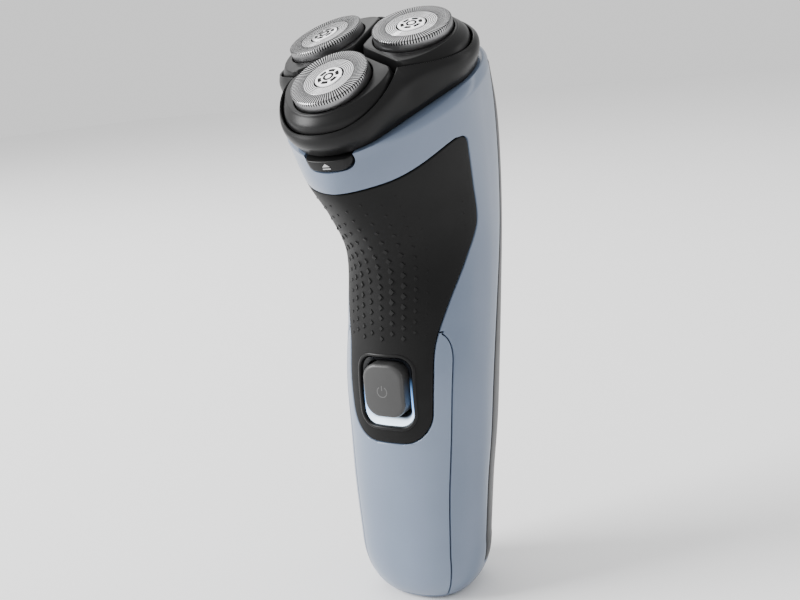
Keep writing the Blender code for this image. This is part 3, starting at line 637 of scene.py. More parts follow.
def make_mesh(
    name: str,
    points: np.ndarray,
    faces: Faces,
    finish: Optional[bpy.types.Material],
    sharp: float = SHARP,
) -> bpy.types.Object:
    """Make one closed object.

    Args:
        name: The object's name.
        points: World points in millimetres.
        faces: Vertex numbers of each face.
        finish: The material, or None.
        sharp: The angle, in degrees, above which an edge shows.

    Returns:
        The object, at the origin.
    """
    mesh = bpy.data.meshes.new(name)
    mesh.from_pydata((np.asarray(points) * MM).tolist(), [], faces)
    body = bmesh.new()
    body.from_mesh(mesh)
    bmesh.ops.recalc_face_normals(body, faces=body.faces)
    body.to_mesh(mesh)
    body.free()
    mesh.shade_smooth()
    mesh.set_sharp_from_angle(angle=math.radians(sharp))
    if finish is not None:
        mesh.materials.append(finish)
    made = bpy.data.objects.new(name, mesh)
    bpy.context.collection.objects.link(made)
    return made


def skin(rings: np.ndarray, looped: bool = False) -> tuple[np.ndarray, Faces]:
    """Skin a body over rings of points.

    Args:
        rings: Points as rings x points x 3.
        looped: Join the last ring to the first instead of capping both.

    Returns:
        The points and faces.
    """
    levels, count = rings.shape[:2]
    spans = levels if looped else levels - 1
    row = np.arange(spans)[:, None] * count
    above = (np.arange(spans)[:, None] + 1) % levels * count
    here = np.arange(count)[None, :]
    there = (here + 1) % count
    quads = np.stack([row + here, row + there, above + there, above + here], axis=-1)
    faces = quads.reshape(-1, 4).tolist()
    if not looped:
        faces.append(list(range(count - 1, -1, -1)))
        faces.append(list(range((levels - 1) * count, levels * count)))
    return rings.reshape(-1, 3), faces


def rings_at(angle: np.ndarray, sections: Sequence[tuple[object, object]]) -> np.ndarray:
    """Turn sections about Z.

    Args:
        angle: The angle of each point of a ring.
        sections: The radius and the height of each ring.

    Returns:
        One ring for each section.
    """
    rings = []
    for radius, height in sections:
        rings.append(np.stack([radius * np.cos(angle), radius * np.sin(angle), 0 * angle + height], -1))
    return np.array(rings)


def revolve(profile: Profile, segments: int) -> np.ndarray:
    """Return the rings of (radius, z) points turned about Z."""
    return rings_at(np.linspace(0.0, math.tau, segments, endpoint=False), profile)


def rounded_outline(width: float, height: float, corner: float, count: int = 16) -> np.ndarray:
    """Return the outline of a rectangle with round corners.

    Args:
        width: Size along x.
        height: Size along y.
        corner: Corner radius.
        count: Steps of each corner and each side.

    Returns:
        Points as count x 2, counted anticlockwise from the right side.
    """
    runs = []
    half_x, half_y = width / 2 - corner, height / 2 - corner
    centres = (
        (half_x, -half_y, -90.0),
        (half_x, half_y, 0.0),
        (-half_x, half_y, 90.0),
        (-half_x, -half_y, 180.0),
    )
    for index, (x, y, start) in enumerate(centres):
        angles = np.radians(start + np.linspace(0.0, 90.0, count, endpoint=False))
        runs.append(np.stack([x + corner * np.cos(angles), y + corner * np.sin(angles)], -1))
        next_x, next_y, _ = centres[(index + 1) % 4]
        turned = math.radians(start + 90.0)
        offset = np.array([corner * math.cos(turned), corner * math.sin(turned)])
        steps = np.linspace(0.0, 1.0, count, endpoint=False)[:, None]
        begin, end = np.array([x, y]) + offset, np.array([next_x, next_y]) + offset
        runs.append(begin + (end - begin) * steps)
    return np.concatenate(runs)


def heel_inset(radius: float, lift: float) -> float:
    """Return how far a round lower corner stands in at a height above the bottom."""
    return radius - math.sqrt(radius**2 - (radius - lift) ** 2)


def stacked(outline: np.ndarray, height: float) -> np.ndarray:
    """Return an outline as 3-D points at a height."""
    return np.column_stack([outline, np.full(len(outline), height)])


def carve(target: bpy.types.Object, rings: np.ndarray, place: Matrix) -> None:
    """Cut a skinned shape, given in a frame, out of an object and keep the result.

    Args:
        target: The object to cut.
        rings: The shape's rings in its frame.
        place: The frame in millimetres.
    """
    points, faces = skin(rings)
    cutter = make_mesh("carving_shape", moved(place, points), faces, None)
    change = target.modifiers.new("carve", "BOOLEAN")
    change.operation = "DIFFERENCE"
    change.solver = "EXACT"
    change.object = cutter
    graph = bpy.context.evaluated_depsgraph_get()
    result = bpy.data.meshes.new_from_object(target.evaluated_get(graph))
    old = target.data
    target.modifiers.clear()
    target.data = result
    bpy.data.meshes.remove(old)
    bpy.data.objects.remove(cutter)
    result.shade_smooth()
    result.set_sharp_from_angle(angle=math.radians(SHARP))


def settle(
    piece: bpy.types.Object, body: str, nodes: Sequence[str] = ()
) -> bpy.types.Object:
    """Hand one finished piece to the frame and report it.

    Args:
        piece: The finished piece.
        body: The CAD body it rides on.
        nodes: The CAD nodes that it stands for.

    Returns:
        The piece.
    """
    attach(piece, body)
    if nodes:
        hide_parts(*nodes)
    LOG.info("%s rides on %s with %d faces", piece.name, body, len(piece.data.polygons))
    return piece


# ---------------------------------------------------------------- geometry nodes
def new_tree(name: str, inputs: dict[str, str]) -> bpy.types.NodeTree:
    """Start a Geometry Nodes tree.

    Args:
        name: The tree's name.
        inputs: The kind of each named input.

    Returns:
        The tree, with its inputs and one mesh output.
    """
    tree = bpy.data.node_groups.new(name, "GeometryNodeTree")
    for label, kind in inputs.items():
        tree.interface.new_socket(label, in_out="INPUT", socket_type=f"NodeSocket{kind}")
    tree.interface.new_socket("Mesh", in_out="OUTPUT", socket_type="NodeSocketGeometry")
    return tree


@dataclass(frozen=True)
class Scatter:
    """Sets one shape on points that carry a turn and a size, through Geometry Nodes."""

    name: str

    def tree(self) -> bpy.types.NodeTree:
        """Make the node tree.

        Returns:
            The tree, with inputs for the points, the shape, the finish and the overall size.
        """
        inputs = {"Points": "Geometry", "Shape": "Object", "Finish": "Material", "Size": "Float"}
        tree = new_tree(self.name, inputs)
        book = NodeBook(tree)
        given = book.node("NodeGroupInput").outputs
        shape = book.node("GeometryNodeObjectInfo", None, {"Object": given["Shape"]})
        turn = book.node("GeometryNodeInputNamedAttribute", {"data_type": "FLOAT_VECTOR"}, {0: "turn"})
        size = book.node("GeometryNodeInputNamedAttribute", {"data_type": "FLOAT"}, {0: "size"})
        rotation = book.node("FunctionNodeEulerToRotation", None, {0: turn.outputs[0]})
        scale = Value(book, size.outputs[0]) * Value(book, given["Size"])
        sockets = {
            "Points": given["Points"],
            "Instance": shape.outputs["Geometry"],
            "Rotation": rotation.outputs[0],
            "Scale": scale,
        }
        placed = book.node("GeometryNodeInstanceOnPoints", None, sockets)
        finish_tree(book, placed.outputs[0], given["Finish"])
        return tree

    def build(
        self,
        points: np.ndarray,
        turns: np.ndarray,
        sizes: np.ndarray,
        shape: bpy.types.Object,
        finish: bpy.types.Material,
    ) -> bpy.types.Object:
        """Set the shape on each point.

        Args:
            points: World points in millimetres.
            turns: An Euler turn for each point, in radians.
            sizes: A scale for each point.
            shape: The shape that is repeated; it is removed afterwards.
            finish: The material of the result.

        Returns:
            One plain mesh object.
        """
        carrier = make_mesh(self.name, points, [], None)
        for name, kind, field, values in (
            ("turn", "FLOAT_VECTOR", "vector", turns),
            ("size", "FLOAT", "value", sizes),
        ):
            attribute = carrier.data.attributes.new(name, kind, "POINT")
            attribute.data.foreach_set(field, np.asarray(values, np.float32).ravel())
        return run_tree(carrier, self.tree(), {"Shape": shape, "Finish": finish, "Size": 1.0}, shape)


@dataclass(frozen=True)
class RingArray:
    """Repeats one shape around the Z axis, through Geometry Nodes."""

    name: str
    count: int

    def tree(self) -> bpy.types.NodeTree:
        """Make the node tree.

        Returns:
            The tree, with inputs for the shape, the finish and the count.
        """
        inputs = {"Mesh": "Geometry", "Shape": "Object", "Finish": "Material", "Count": "Int"}
        tree = new_tree(self.name, inputs)
        book = NodeBook(tree)
        given = book.node("NodeGroupInput").outputs
        shape = book.node("GeometryNodeObjectInfo", None, {"Object": given["Shape"]})
        points = book.node("GeometryNodePoints", None, {"Count": given["Count"]})
        index = Value(book, book.node("GeometryNodeInputIndex").outputs[0])
        angle = index * math.tau / Value(book, given["Count"])
        turn = book.node("ShaderNodeCombineXYZ", None, {2: angle})
        rotation = book.node("FunctionNodeEulerToRotation", None, {0: turn.outputs[0]})
        sockets = {
            "Points": points.outputs[0],
            "Instance": shape.outputs["Geometry"],
            "Rotation": rotation.outputs[0],
        }
        placed = book.node("GeometryNodeInstanceOnPoints", None, sockets)
        finish_tree(book, placed.outputs[0], given["Finish"])
        return tree

    def build(
        self, shape: bpy.types.Object, finish: bpy.types.Material, place: Matrix
    ) -> bpy.types.Object:
        """Repeat the shape around the axis of a frame.

        Args:
            shape: The shape, at its place for angle 0; it is removed afterwards.
            finish: The material of the result.
            place: The frame, in millimetres, whose Z is the axis.

        Returns:
            One plain mesh object.
        """
        carrier = make_mesh(self.name, np.zeros((1, 3)), [], None)
        inputs = {"Shape": shape, "Finish": finish, "Count": self.count}
        made = run_tree(carrier, self.tree(), inputs, shape)
        made.data.transform(metres(place))
        return made


def finish_tree(
    book: NodeBook, instances: bpy.types.NodeSocket, finish: bpy.types.NodeSocket
) -> None:
    """End a Geometry Nodes tree: real meshes, one finish and the output.

    Args:
        book: The tree's book.
        instances: The socket with the instances.
        finish: The socket with the material.
    """
    real = book.node("GeometryNodeRealizeInstances", None, {0: instances})
    sockets = {"Geometry": real.outputs[0], "Material": finish}
    dressed = book.node("GeometryNodeSetMaterial", None, sockets)
    book.node("NodeGroupOutput", None, {0: dressed.outputs[0]})


def run_tree(
    carrier: bpy.types.Object,
    tree: bpy.types.NodeTree,
    inputs: dict[str, object],
    shape: bpy.types.Object,
) -> bpy.types.Object:
    """Run a Geometry Nodes tree once and keep its plain mesh.

    Args:
        carrier: The object that the tree runs on; it is removed.
        tree: The node tree.
        inputs: Values of the tree's named inputs.
        shape: The repeated shape's object; it is removed.

    Returns:
        An object with the resulting mesh and the carrier's name.
    """
    modifier = carrier.modifiers.new(tree.name, "NODES")
    modifier.node_group = tree
    items = tree.interface.items_tree
    sockets = {item.name: item.identifier for item in items if item.in_out == "INPUT"}
    for name, value in inputs.items():
        modifier[sockets[name]] = value
    graph = bpy.context.evaluated_depsgraph_get()
    mesh = bpy.data.meshes.new_from_object(carrier.evaluated_get(graph))
    name = carrier.name
    bpy.data.objects.remove(carrier)
    bpy.data.objects.remove(shape)
    made = bpy.data.objects.new(name, mesh)
    bpy.context.collection.objects.link(made)
    mesh.shade_smooth()
    mesh.set_sharp_from_angle(angle=math.radians(SHARP))
    return made


# ---------------------------------------------------------------- handle surface
def lobe_fold(angle: np.ndarray) -> np.ndarray:
    """Measure how far directions lie from the nearest lobe.

    Args:
        angle: Angles about Z in radians.

    Returns:
        The distances in radians, from 0 to a sixth of a turn.
    """
    third = math.tau / 3
    turned = (angle + math.pi / 2) % third
    return np.minimum(turned, third - turned)


def hull_radius(angle: np.ndarray, offset: float, corner: float) -> np.ndarray:
    """Measure a triangle of three round corners.

    Args:
        angle: Angles about Z in radians.
        offset: How far the corners' centres lie from the axis.
        corner: The radius of the corners.

    Returns:
        The triangle's radius at each angle.
    """
    fold = lobe_fold(angle)
    tangent = math.atan2(corner * math.sin(math.pi / 3), offset + corner / 2)
    under = np.maximum(corner**2 - (offset * np.sin(fold)) ** 2, 0.0)
    round_part = offset * np.cos(fold) + np.sqrt(under)
    flat_part = (offset / 2 + corner) / np.cos(math.pi / 3 - fold)
    return np.where(fold < tangent, round_part, flat_part)


RIM_RISE = Ramp(10.0, 52.0)


def rim_point(angle: np.ndarray) -> tuple[np.ndarray, np.ndarray]:
    """Find the collar's rim.

    Args:
        angle: Angles about Z in radians.

    Returns:
        The rim's radius and height at each angle.
    """
    fold = lobe_fold(angle)
    radius = RIM_VALLEY_RADIUS + (RIM_LOBE_RADIUS - RIM_VALLEY_RADIUS) * np.cos(1.5 * fold)
    return radius, RIM_LOBE_H + (RIM_VALLEY_H - RIM_LOBE_H) * RIM_RISE.at(np.degrees(fold))


class Station(NamedTuple):
    """One cross-section, from its front point to its back point."""

    front_y: float
    front_z: float
    back_y: float
    back_z: float
    half_width: float
    front_power: float
    back_power: float
    front_share: float


@dataclass
class HandleSurface:
    """Outer surface of the handle: a height counted in stations and an angle from the front."""

    stations: tuple[Station, ...] = (
        Station(-15.9, 16.0, 17.4, 16.0, 19.1, 2.25, 2.40, 0.49),
        Station(-15.6, 33.5, 19.7, 33.5, 20.4, 2.20, 2.45, 0.50),
        Station(-15.0, 49.0, 22.9, 49.0, 21.5, 2.10, 2.50, 0.52),
        Station(-15.2, 66.0, 26.7, 66.0, 22.0, 2.00, 2.50, 0.54),
        Station(-13.2, 82.0, 30.9, 84.0, 21.8, 1.90, 2.55, 0.56),
        Station(-12.0, 99.0, 34.7, 105.0, 21.9, 1.80, 2.60, 0.58),
        Station(-19.4, 111.0, 35.4, 123.0, 23.3, 1.75, 2.60, 0.58),
        Station(-28.1, 120.8, 32.3, 140.0, 25.4, 1.70, 2.60, 0.58),
        Station(-30.4, 128.6, 22.5, 155.0, 28.0, 1.65, 2.60, 0.58),
    )
    base_height: float = 16.0
    base_arc: float = math.radians(64.0)
    base_power: float = 0.62
    grip_top: float = 7.0
    grip_rise: float = 0.28
    sideways: Ramp = Ramp(20.0, 45.0)
    lobe_offset: float = 14.0
    seam_corner: float = 15.6
    seam_h: float = -14.3

    @property
    def top(self) -> int:
        """Return the height of the last station."""
        return len(self.stations) - 1

    def section(self, t: np.ndarray) -> np.ndarray:
        """Interpolate the stations.

        Args:
            t: Heights counted in stations.

        Returns:
            The eight station values at each height.
        """
        table = extended(np.array(self.stations))
        i = np.clip(np.floor(t).astype(int), 0, self.top - 1)
        return between([table[i + step] for step in range(4)], (t - i)[..., None])

    def section_point(self, t: np.ndarray, angle: np.ndarray) -> np.ndarray:
        """Find points of the stationed part of the handle.

        Args:
            t: Heights counted in stations.
            angle: Angles from the front, in radians.

        Returns:
            World points in millimetres.
        """
        cut = Station(*np.moveaxis(self.section(np.clip(t, 0.0, self.top)), -1, 0))
        zero = np.zeros_like(cut.front_y)
        front = np.stack([zero, cut.front_y, cut.front_z], -1)
        across = np.stack([zero, cut.back_y, cut.back_z], -1) - front
        length = np.linalg.norm(across, axis=-1)
        forward = np.cos(angle) > 0
        reach = length * np.where(forward, cut.front_share, 1 - cut.front_share)
        power = np.where(forward, cut.front_power, cut.back_power)
        side = np.abs(np.sin(angle) / cut.half_width) ** power + np.abs(np.cos(angle) / reach) ** power
        radius = side ** (-1 / power)
        along = length * cut.front_share - radius * np.cos(angle)
        result = front + across / length[..., None] * along[..., None]
        result[..., 0] += radius * np.sin(angle)
        return result

    def seam_point(self, angle: np.ndarray) -> np.ndarray:
        """Find points of the seam under the head.

        Args:
            angle: Angles from the front, in radians.

        Returns:
            World points in millimetres.
        """
        turn = angle - math.pi / 2
        radius = hull_radius(turn, self.lobe_offset, self.seam_corner)
        local = np.stack([radius * np.cos(turn), radius * np.sin(turn), 0 * turn + self.seam_h], -1)
        return moved(head_frame(), local)

    def point(self, t: np.ndarray, angle: np.ndarray) -> np.ndarray:
        """Return points of the outer surface.

        Args:
            t: Heights, from the foot (-1) to the head seam (9).
            angle: Angles from the front, in radians, of the same shape.

        Returns:
            World points in millimetres.
        """
        t, angle = np.broadcast_arrays(np.asarray(t, float), np.asarray(angle, float))
        side = np.degrees(np.arccos(np.cos(angle)))
        near = smoothstep(1 - np.abs(t - self.grip_top))
        t = t + self.grip_rise * self.sideways.at(side) * near
        result = self.section_point(t, angle)
        base = t < 0
        if base.any():
            swing = -t[base] * self.base_arc
            scale = np.cos(swing) ** self.base_power
            height = self.base_height * (1 - np.sin(swing) / math.sin(self.base_arc))
            rim = self.section_point(0 * swing, angle[base])
            result[base] = np.stack([rim[:, 0] * scale, rim[:, 1] * scale, height], -1)
        head = t > self.top
        if head.any():
            low = self.section_point(0 * t[head] + self.top, angle[head])
            axis = np.array(head_frame().to_3x3().col[2])
            step = self.seam_point(angle[head]) - low
            rise = axis * (step @ axis)[:, None]
            swing = ((t[head] - self.top) * math.pi / 2)[:, None]
            result[head] = low + rise * np.sin(swing) + (step - rise) * (1 - np.cos(swing))
        return result

    def inward(self, t: np.ndarray, angle: np.ndarray, lean: bool = False) -> np.ndarray:
        """Return unit directions into the handle.

        Args:
            t: Heights.
            angle: Angles in radians.
            lean: Turn the direction into the head plane near the head seam.

        Returns:
            The directions.
        """
        nudge = 0.02
        low, high = np.maximum(t - nudge, -1.0), np.minimum(t + nudge, self.top + 1.0)
        along = self.point(high, angle) - self.point(low, angle)
        around = self.point(t, angle + nudge) - self.point(t, angle - nudge)
        inward = np.cross(along, around)
        inward /= np.linalg.norm(inward, axis=-1, keepdims=True)
        if not lean:
            return inward
        axis = np.array(head_frame().to_3x3().col[2])
        flat = np.cross(around, -axis)
        flat /= np.linalg.norm(flat, axis=-1, keepdims=True)
        flat *= np.where((flat * inward).sum(-1, keepdims=True) > 0, 1.0, -1.0)
        share = smoothstep(t - self.grip_top)[..., None]
        inward = inward * (1 - share) + flat * share
        return inward / np.linalg.norm(inward, axis=-1, keepdims=True)

    def at_front(self, x: np.ndarray, z: np.ndarray) -> tuple[np.ndarray, np.ndarray]:
        """Find front points by their place seen from the front.

        Args:
            x: World x of each point.
            z: World z of each point.

        Returns:
            The height and the angle of each point.
        """
        nudge, guess, girth, rounds = 1e-4, 3.0, 20.0, 12
        t, angle = 0 * x + guess, x / girth
        for _ in range(rounds):
            here = self.point(t, angle)
            by_t = (self.point(t + nudge, angle) - here) / nudge
            by_angle = (self.point(t, angle + nudge) - here) / nudge
            miss_x, miss_z = x - here[..., 0], z - here[..., 2]
            area = by_t[..., 0] * by_angle[..., 2] - by_t[..., 2] * by_angle[..., 0]
            t = t + (miss_x * by_angle[..., 2] - miss_z * by_angle[..., 0]) / area
            angle = angle + (by_t[..., 0] * miss_z - by_t[..., 2] * miss_x) / area
        return t, angle


# ---------------------------------------------------------------- shell
class Shell(Enum):
    """The four shell pieces and the cells that belong to none."""

    NONE = 0
    HOUSING = 1
    COVER = 2
    GRIP = 3
    REAR = 4


SHELL_LETTERS = {shell.name[0]: shell for shell in Shell}


class Row(NamedTuple):
    """One row of the shell between two seams, and the first letter of each column's piece."""

    low: float
    high: float
    cells: int
    eased: bool
    pieces: str


class Opening(NamedTuple):
    """A rectangular cut with round corners and its two depths."""

    width: float
    length: float
    corner: float
    steps: int
    low: float
    high: float

    def rings(self) -> np.ndarray:
        """Return the rings of the cut in its own frame."""
        outline = rounded_outline(self.width, self.length, self.corner, self.steps)
        return np.array([stacked(outline, self.low), stacked(outline, self.high)])


class Grid(NamedTuple):
    """The shell's grid: outer points, directions into the handle and the piece of each cell."""

    points: np.ndarray
    inward: np.ndarray
    cells: np.ndarray


@dataclass
class ShellPieces:
    """Housing, front cover, grip and rear panel, with rounded edges along every seam."""

    surface: HandleSurface
    wall: float = 2.1
    seam: float = 0.15
    fine: tuple[float, ...] = (0.0, 0.08, 0.2, 0.35)
    fillet: tuple[float, ...] = (0.35, 0.127, 0.034)
    rows: tuple[Row, ...] = (
        Row(-1.0, -0.85, 5, False, "HHHH"),
        Row(-0.85, -0.40, 9, False, "CCHH"),
        Row(-0.40, 2.05, 34, False, "CCHR"),
        Row(2.05, 3.87, 46, True, "GCHR"),
        Row(3.87, 7.0, 56, True, "GHHR"),
        Row(7.0, 8.0, 16, False, "HHHR"),
        Row(8.0, 9.0, 18, False, "HHHH"),
    )
    column_cells: tuple[int, ...] = (30, 18, 18, 26)
    grip_edge: tuple[tuple[float, float], ...] = (
        (3.0, 36.0),
        (3.7, 36.5),
        (4.3, 45.5),
        (4.9, 60.0),
        (5.4, 71.0),
        (6.2, 71.0),
        (7.0, 72.0),
    )
    grip_bottom: float = 2.05
    grip_corner: float = 0.5
    wing_corner: float = 0.22
    wing_cut: float = 9.0
    tip_angle: float = 12.0
    cover_angle: float = 50.0
    cover_top: float = 3.87
    cover_corner: float = 0.52
    cover_margin: float = 3.0
    rear_angle: float = 94.0
    rear_angle_top: float = 113.0
    rear_turn: Ramp = Ramp(2.0, 5.5)
    recess: Opening = Opening(17.2, 20.6, 4.6, 16, 4.0, 18.0)
    recess_z: float = 64.5
    notch: Opening = Opening(14.4, 12.0, 0.5, 4, 0.0, 6.4)
    notch_at: tuple[float, float, float] = (0.0, -29.0, -18.1)
    notch_heel: float = 2.2
    hinge: Opening = Opening(17.8, 4.4, 0.5, 4, 0.0, 4.4)
    hinge_at: tuple[float, float, float] = (0.0, 22.7, -16.4)
    socket: Opening = Opening(11.2, 7.4, 1.4, 6, -1.0, 6.0)
    socket_at: tuple[float, float, float] = (0.0, 5.2, 0.0)

    def grip_edge_angle(self, t: float) -> float:
        """Find the grip's edge.

        Args:
            t: A height counted in stations.

        Returns:
            The edge's angle from the front, in degrees.
        """
        heights, angles = np.array(self.grip_edge).T
        count = float(np.interp(t, heights, range(len(heights))))
        i = min(int(count), len(angles) - 2)
        angle = float(between(extended(angles)[i : i + 4], count - i))
        if t < self.grip_bottom + self.grip_corner:
            drop = min((self.grip_bottom + self.grip_corner - t) / self.grip_corner, 1.0)
            angle = self.tip_angle + (angle - self.tip_angle) * math.sqrt(1 - drop**2)
        wing = min(max((t - self.surface.grip_top) / self.wing_corner + 1, 0.0), 1.0)
        return angle - self.wing_cut * (1 - math.sqrt(1 - wing**2))

    def cover_edge_angle(self, t: float) -> float:
        """Find the front cover's edge.

        Args:
            t: A height counted in stations.

        Returns:
            The edge's angle from the front, in degrees.
        """
        start = self.cover_top - self.cover_corner
        least = self.grip_edge_angle(t) + self.cover_margin
        if t <= start:
            return max(self.cover_angle, least)
        drop = min((t - start) / self.cover_corner, 1.0)
        inner = self.grip_edge_angle(start)
        return max(inner + (self.cover_angle - inner) * math.sqrt(1 - drop**2), least)

    def rear_edge_angle(self, t: float) -> float:
        """Return the angle of the rear panel's edge in degrees."""
        ease = float(self.rear_turn.at(np.array(t)))
        return self.rear_angle + (self.rear_angle_top - self.rear_angle) * ease

    def spread(
        self, low: float, high: float, edges: tuple[float, float], cells: int, eased: bool
    ) -> np.ndarray:
        """Return positions between two seams, close together beside each seam.

        Args:
            low: The first seam.
            high: The second seam.
            edges: What one millimetre is worth beside each seam; 0 where there is no seam.
            cells: Cells between the two fine margins.
            eased: Crowd the cells at both ends.

        Returns:
            The positions in order.
        """
        room = 0.45 * (high - low)
        sides = []
        for worth in edges:
            steps = [worth * (self.seam + step) for step in self.fine] if worth else [0.0]
            squeeze = min(1.0, room / steps[-1]) if worth else 1.0
            sides.append([step * squeeze for step in steps])
        start, end = low + sides[0][-1], high - sides[1][-1]
        share = np.linspace(0.0, 1.0, cells + 1)
        if eased:
            share = (1 - np.cos(share * math.pi)) / 2
        middle = start + (end - start) * share
        first = [low + step for step in sides[0][:-1]]
        final = [high - step for step in reversed(sides[1][:-1])]
        return np.array([*first, *middle, *final])

    def levels(self) -> tuple[list[float], list[Optional[int]]]:
        """Lay out the grid's levels.

        Returns:
            The levels, and the row of each cell between them, None across a seam.
        """
        levels, owners = [], []
        for index, row in enumerate(self.rows):
            ends = self.surface.point(np.array([row.low, row.high]), np.zeros(2))
            worth = (row.high - row.low) / float(np.linalg.norm(ends[1] - ends[0]))
            edges = (worth if index > 0 else 0.0, worth)
            steps = self.spread(row.low, row.high, edges, row.cells, row.eased)
            levels.extend(steps.tolist())
            owners.extend([index] * (len(steps) - 1))
            owners.append(None)
        return levels, owners[:-1]

    def columns(self, t: float) -> tuple[list[float], list[Optional[int]]]:
        """Lay out the columns of one half of a level.

        Args:
            t: The level's height.

        Returns:
            The angles in degrees, and the column of each cell between them, None across a seam.
        """
        seams = (self.grip_edge_angle, self.cover_edge_angle, self.rear_edge_angle)
        edges = [0.0, *[seam(t) for seam in seams], 180.0]
        girth = self.surface.point(np.full(2, t), np.array([math.pi / 2, -math.pi / 2]))
        radius = float(np.linalg.norm(girth[0] - girth[1])) / 2
        nudge, least_rise = 0.004, 0.25
        worth = []
        for edge in seams:
            low, high = max(t - nudge, -1.0), min(t + nudge, self.surface.top + 1.0)
            angles = np.radians([edge(low), edge(high)])
            ends = self.surface.point(np.array([low, high]), angles)
            middle = self.surface.point(np.array([low, high]), np.full(2, angles.mean()))
            run = float(np.linalg.norm(ends[1] - ends[0]))
            rise = float(np.linalg.norm(middle[1] - middle[0]))
            steep = min(max(rise / run, least_rise), 1.0)
            worth.append(math.degrees(1.0 / radius) / steep)
        angles, owners = [], []
        for index, cells in enumerate(self.column_cells):
            sides = (worth[index - 1] if index > 0 else 0.0, worth[index] if index < 3 else 0.0)
            steps = self.spread(edges[index], edges[index + 1], sides, cells, False)
            angles.extend(steps.tolist())
            owners.extend([index] * (len(steps) - 1))
            owners.append(None)
        return angles, owners[:-1]

    def owners(self, rows: list[Optional[int]], columns: list[Optional[int]]) -> np.ndarray:
        """Give every cell its piece, and close the seams that lie inside one piece.

        Args:
            rows: The row of each cell of a column, None across a seam.
            columns: The column of each cell of one half, None across a seam.

        Returns:
            The number of the piece of each cell.
        """
        around = columns + columns[::-1]
        grid = np.zeros((len(rows), len(around)), int)
        for i, row in enumerate(rows):
            for j, column in enumerate(around):
                if row is not None and column is not None:
                    grid[i, j] = SHELL_LETTERS[self.rows[row].pieces[column]].value
        left, right = np.roll(grid, 1, axis=1), np.roll(grid, -1, axis=1)
        below = np.vstack([grid[:1] * 0, grid[:-1]])
        above = np.vstack([grid[1:], grid[:1] * 0])
        corners = [np.roll(side, step, axis=1) for side in (below, above) for step in (1, -1)]
        same = np.all([corner == corners[0] for corner in corners], axis=0)
        filled = np.where((grid == 0) & same, corners[0], grid)
        filled = np.where((grid == 0) & (left == right) & (left > 0), left, filled)
        return np.where((grid == 0) & (below == above) & (below > 0), below, filled)

    def grid(self) -> Grid:
        """Make the grid that all four pieces are cut from.

        Returns:
            The grid.
        """
        levels, rows = self.levels()
        rings = []
        for t in levels:
            half, columns = self.columns(t)
            rings.append([*half, *[360.0 - angle for angle in reversed(half[1:-1])]])
        angles = np.radians(np.array(rings))
        heights = np.repeat(np.array(levels)[:, None], angles.shape[1], axis=1)
        points = self.surface.point(heights, angles)
        inward = self.surface.inward(heights, angles, lean=True)
        return Grid(points, inward, self.owners(rows, columns))

    def rounded(self, owned: np.ndarray) -> np.ndarray:
        """Return how deep each grid point of a piece lies under the surface.

        Args:
            owned: True for each cell of the piece.

        Returns:
            Depths in millimetres, one for each grid point.
        """
        high, wide = owned.shape
        padded = np.zeros((high + 2, wide), bool)
        padded[1:-1] = owned
        padded[0] = owned[0]
        corners = [padded[:-1], padded[1:], np.roll(padded[:-1], 1, 1), np.roll(padded[1:], 1, 1)]
        reached = ~np.all(corners, axis=0)
        depth = np.where(reached, self.fillet[0], 0.0)
        for value in self.fillet[1:]:
            spread = reached.copy()
            spread[1:] |= reached[:-1]
            spread[:-1] |= reached[1:]
            spread |= np.roll(reached, 1, 1) | np.roll(reached, -1, 1)
            depth = np.where(spread & ~reached, value, depth)
            reached = spread
        return depth

    def piece(
        self, grid: Grid, piece: Shell, name: str, finish: bpy.types.Material
    ) -> bpy.types.Object:
        """Make one shell piece: outer skin, inner skin and the walls along its edges.

        Args:
            grid: The grid of the whole shell.
            piece: Which piece.
            name: The object's name.
            finish: Its material.

        Returns:
            The object.
        """
        owned = grid.cells == piece.value
        depth = self.rounded(owned)[..., None]
        outer = grid.points + grid.inward * depth
        inner = grid.points + grid.inward * self.wall
        high, wide = grid.points.shape[:2]
        i, j = np.nonzero(owned)
        after = (j + 1) % wide
        around = [i * wide + j, i * wide + after, (i + 1) * wide + after, (i + 1) * wide + j]
        below = high * wide
        faces = [np.stack(around, -1), np.stack([corner + below for corner in reversed(around)], -1)]
        padded = np.zeros((owned.shape[0] + 2, wide), bool)
        padded[1:-1] = owned
        padded[0] = owned[0]
        neighbours = (
            padded[i, j],
            owned[i, after],
            padded[i + 2, j],
            owned[i, (j - 1) % wide],
        )
        for side, inside in enumerate(neighbours):
            one, other = around[side][~inside], around[(side + 1) % 4][~inside]
            faces.append(np.stack([other, one, one + below, other + below], -1))
        quads = np.concatenate(faces)
        used, renumbered = np.unique(quads, return_inverse=True)
        places = np.concatenate([outer.reshape(-1, 3), inner.reshape(-1, 3)])[used]
        lists = renumbered.reshape(quads.shape).tolist()
        if piece is Shell.HOUSING:
            number = {int(old): new for new, old in enumerate(used)}
            lists.append([number[k] for k in range(wide)])
            lists.append([number[below + k] for k in reversed(range(wide))])
        return make_mesh(name, places, lists, finish, sharp=50.0)

    def build(self) -> None:
        """Make the four pieces, cut their openings and hand them to the frame."""
        grid = self.grid()
        housing = self.piece(grid, Shell.HOUSING, "housing", BLUE.build())
        cover = self.piece(grid, Shell.COVER, "front_shell", PALE_BLUE.build())
        grip = self.piece(grid, Shell.GRIP, "grip", RUBBER.build())
        rear = self.piece(grid, Shell.REAR, "back_shell", GREY.build())
        self.cut_openings(housing, grip)
        settle(housing, "handle", ["main_housing"])
        settle(cover, "handle", ["front_cover"])
        settle(grip, "handle", ["grip_panel"])
        settle(rear, "handle", ["rear_panel"])

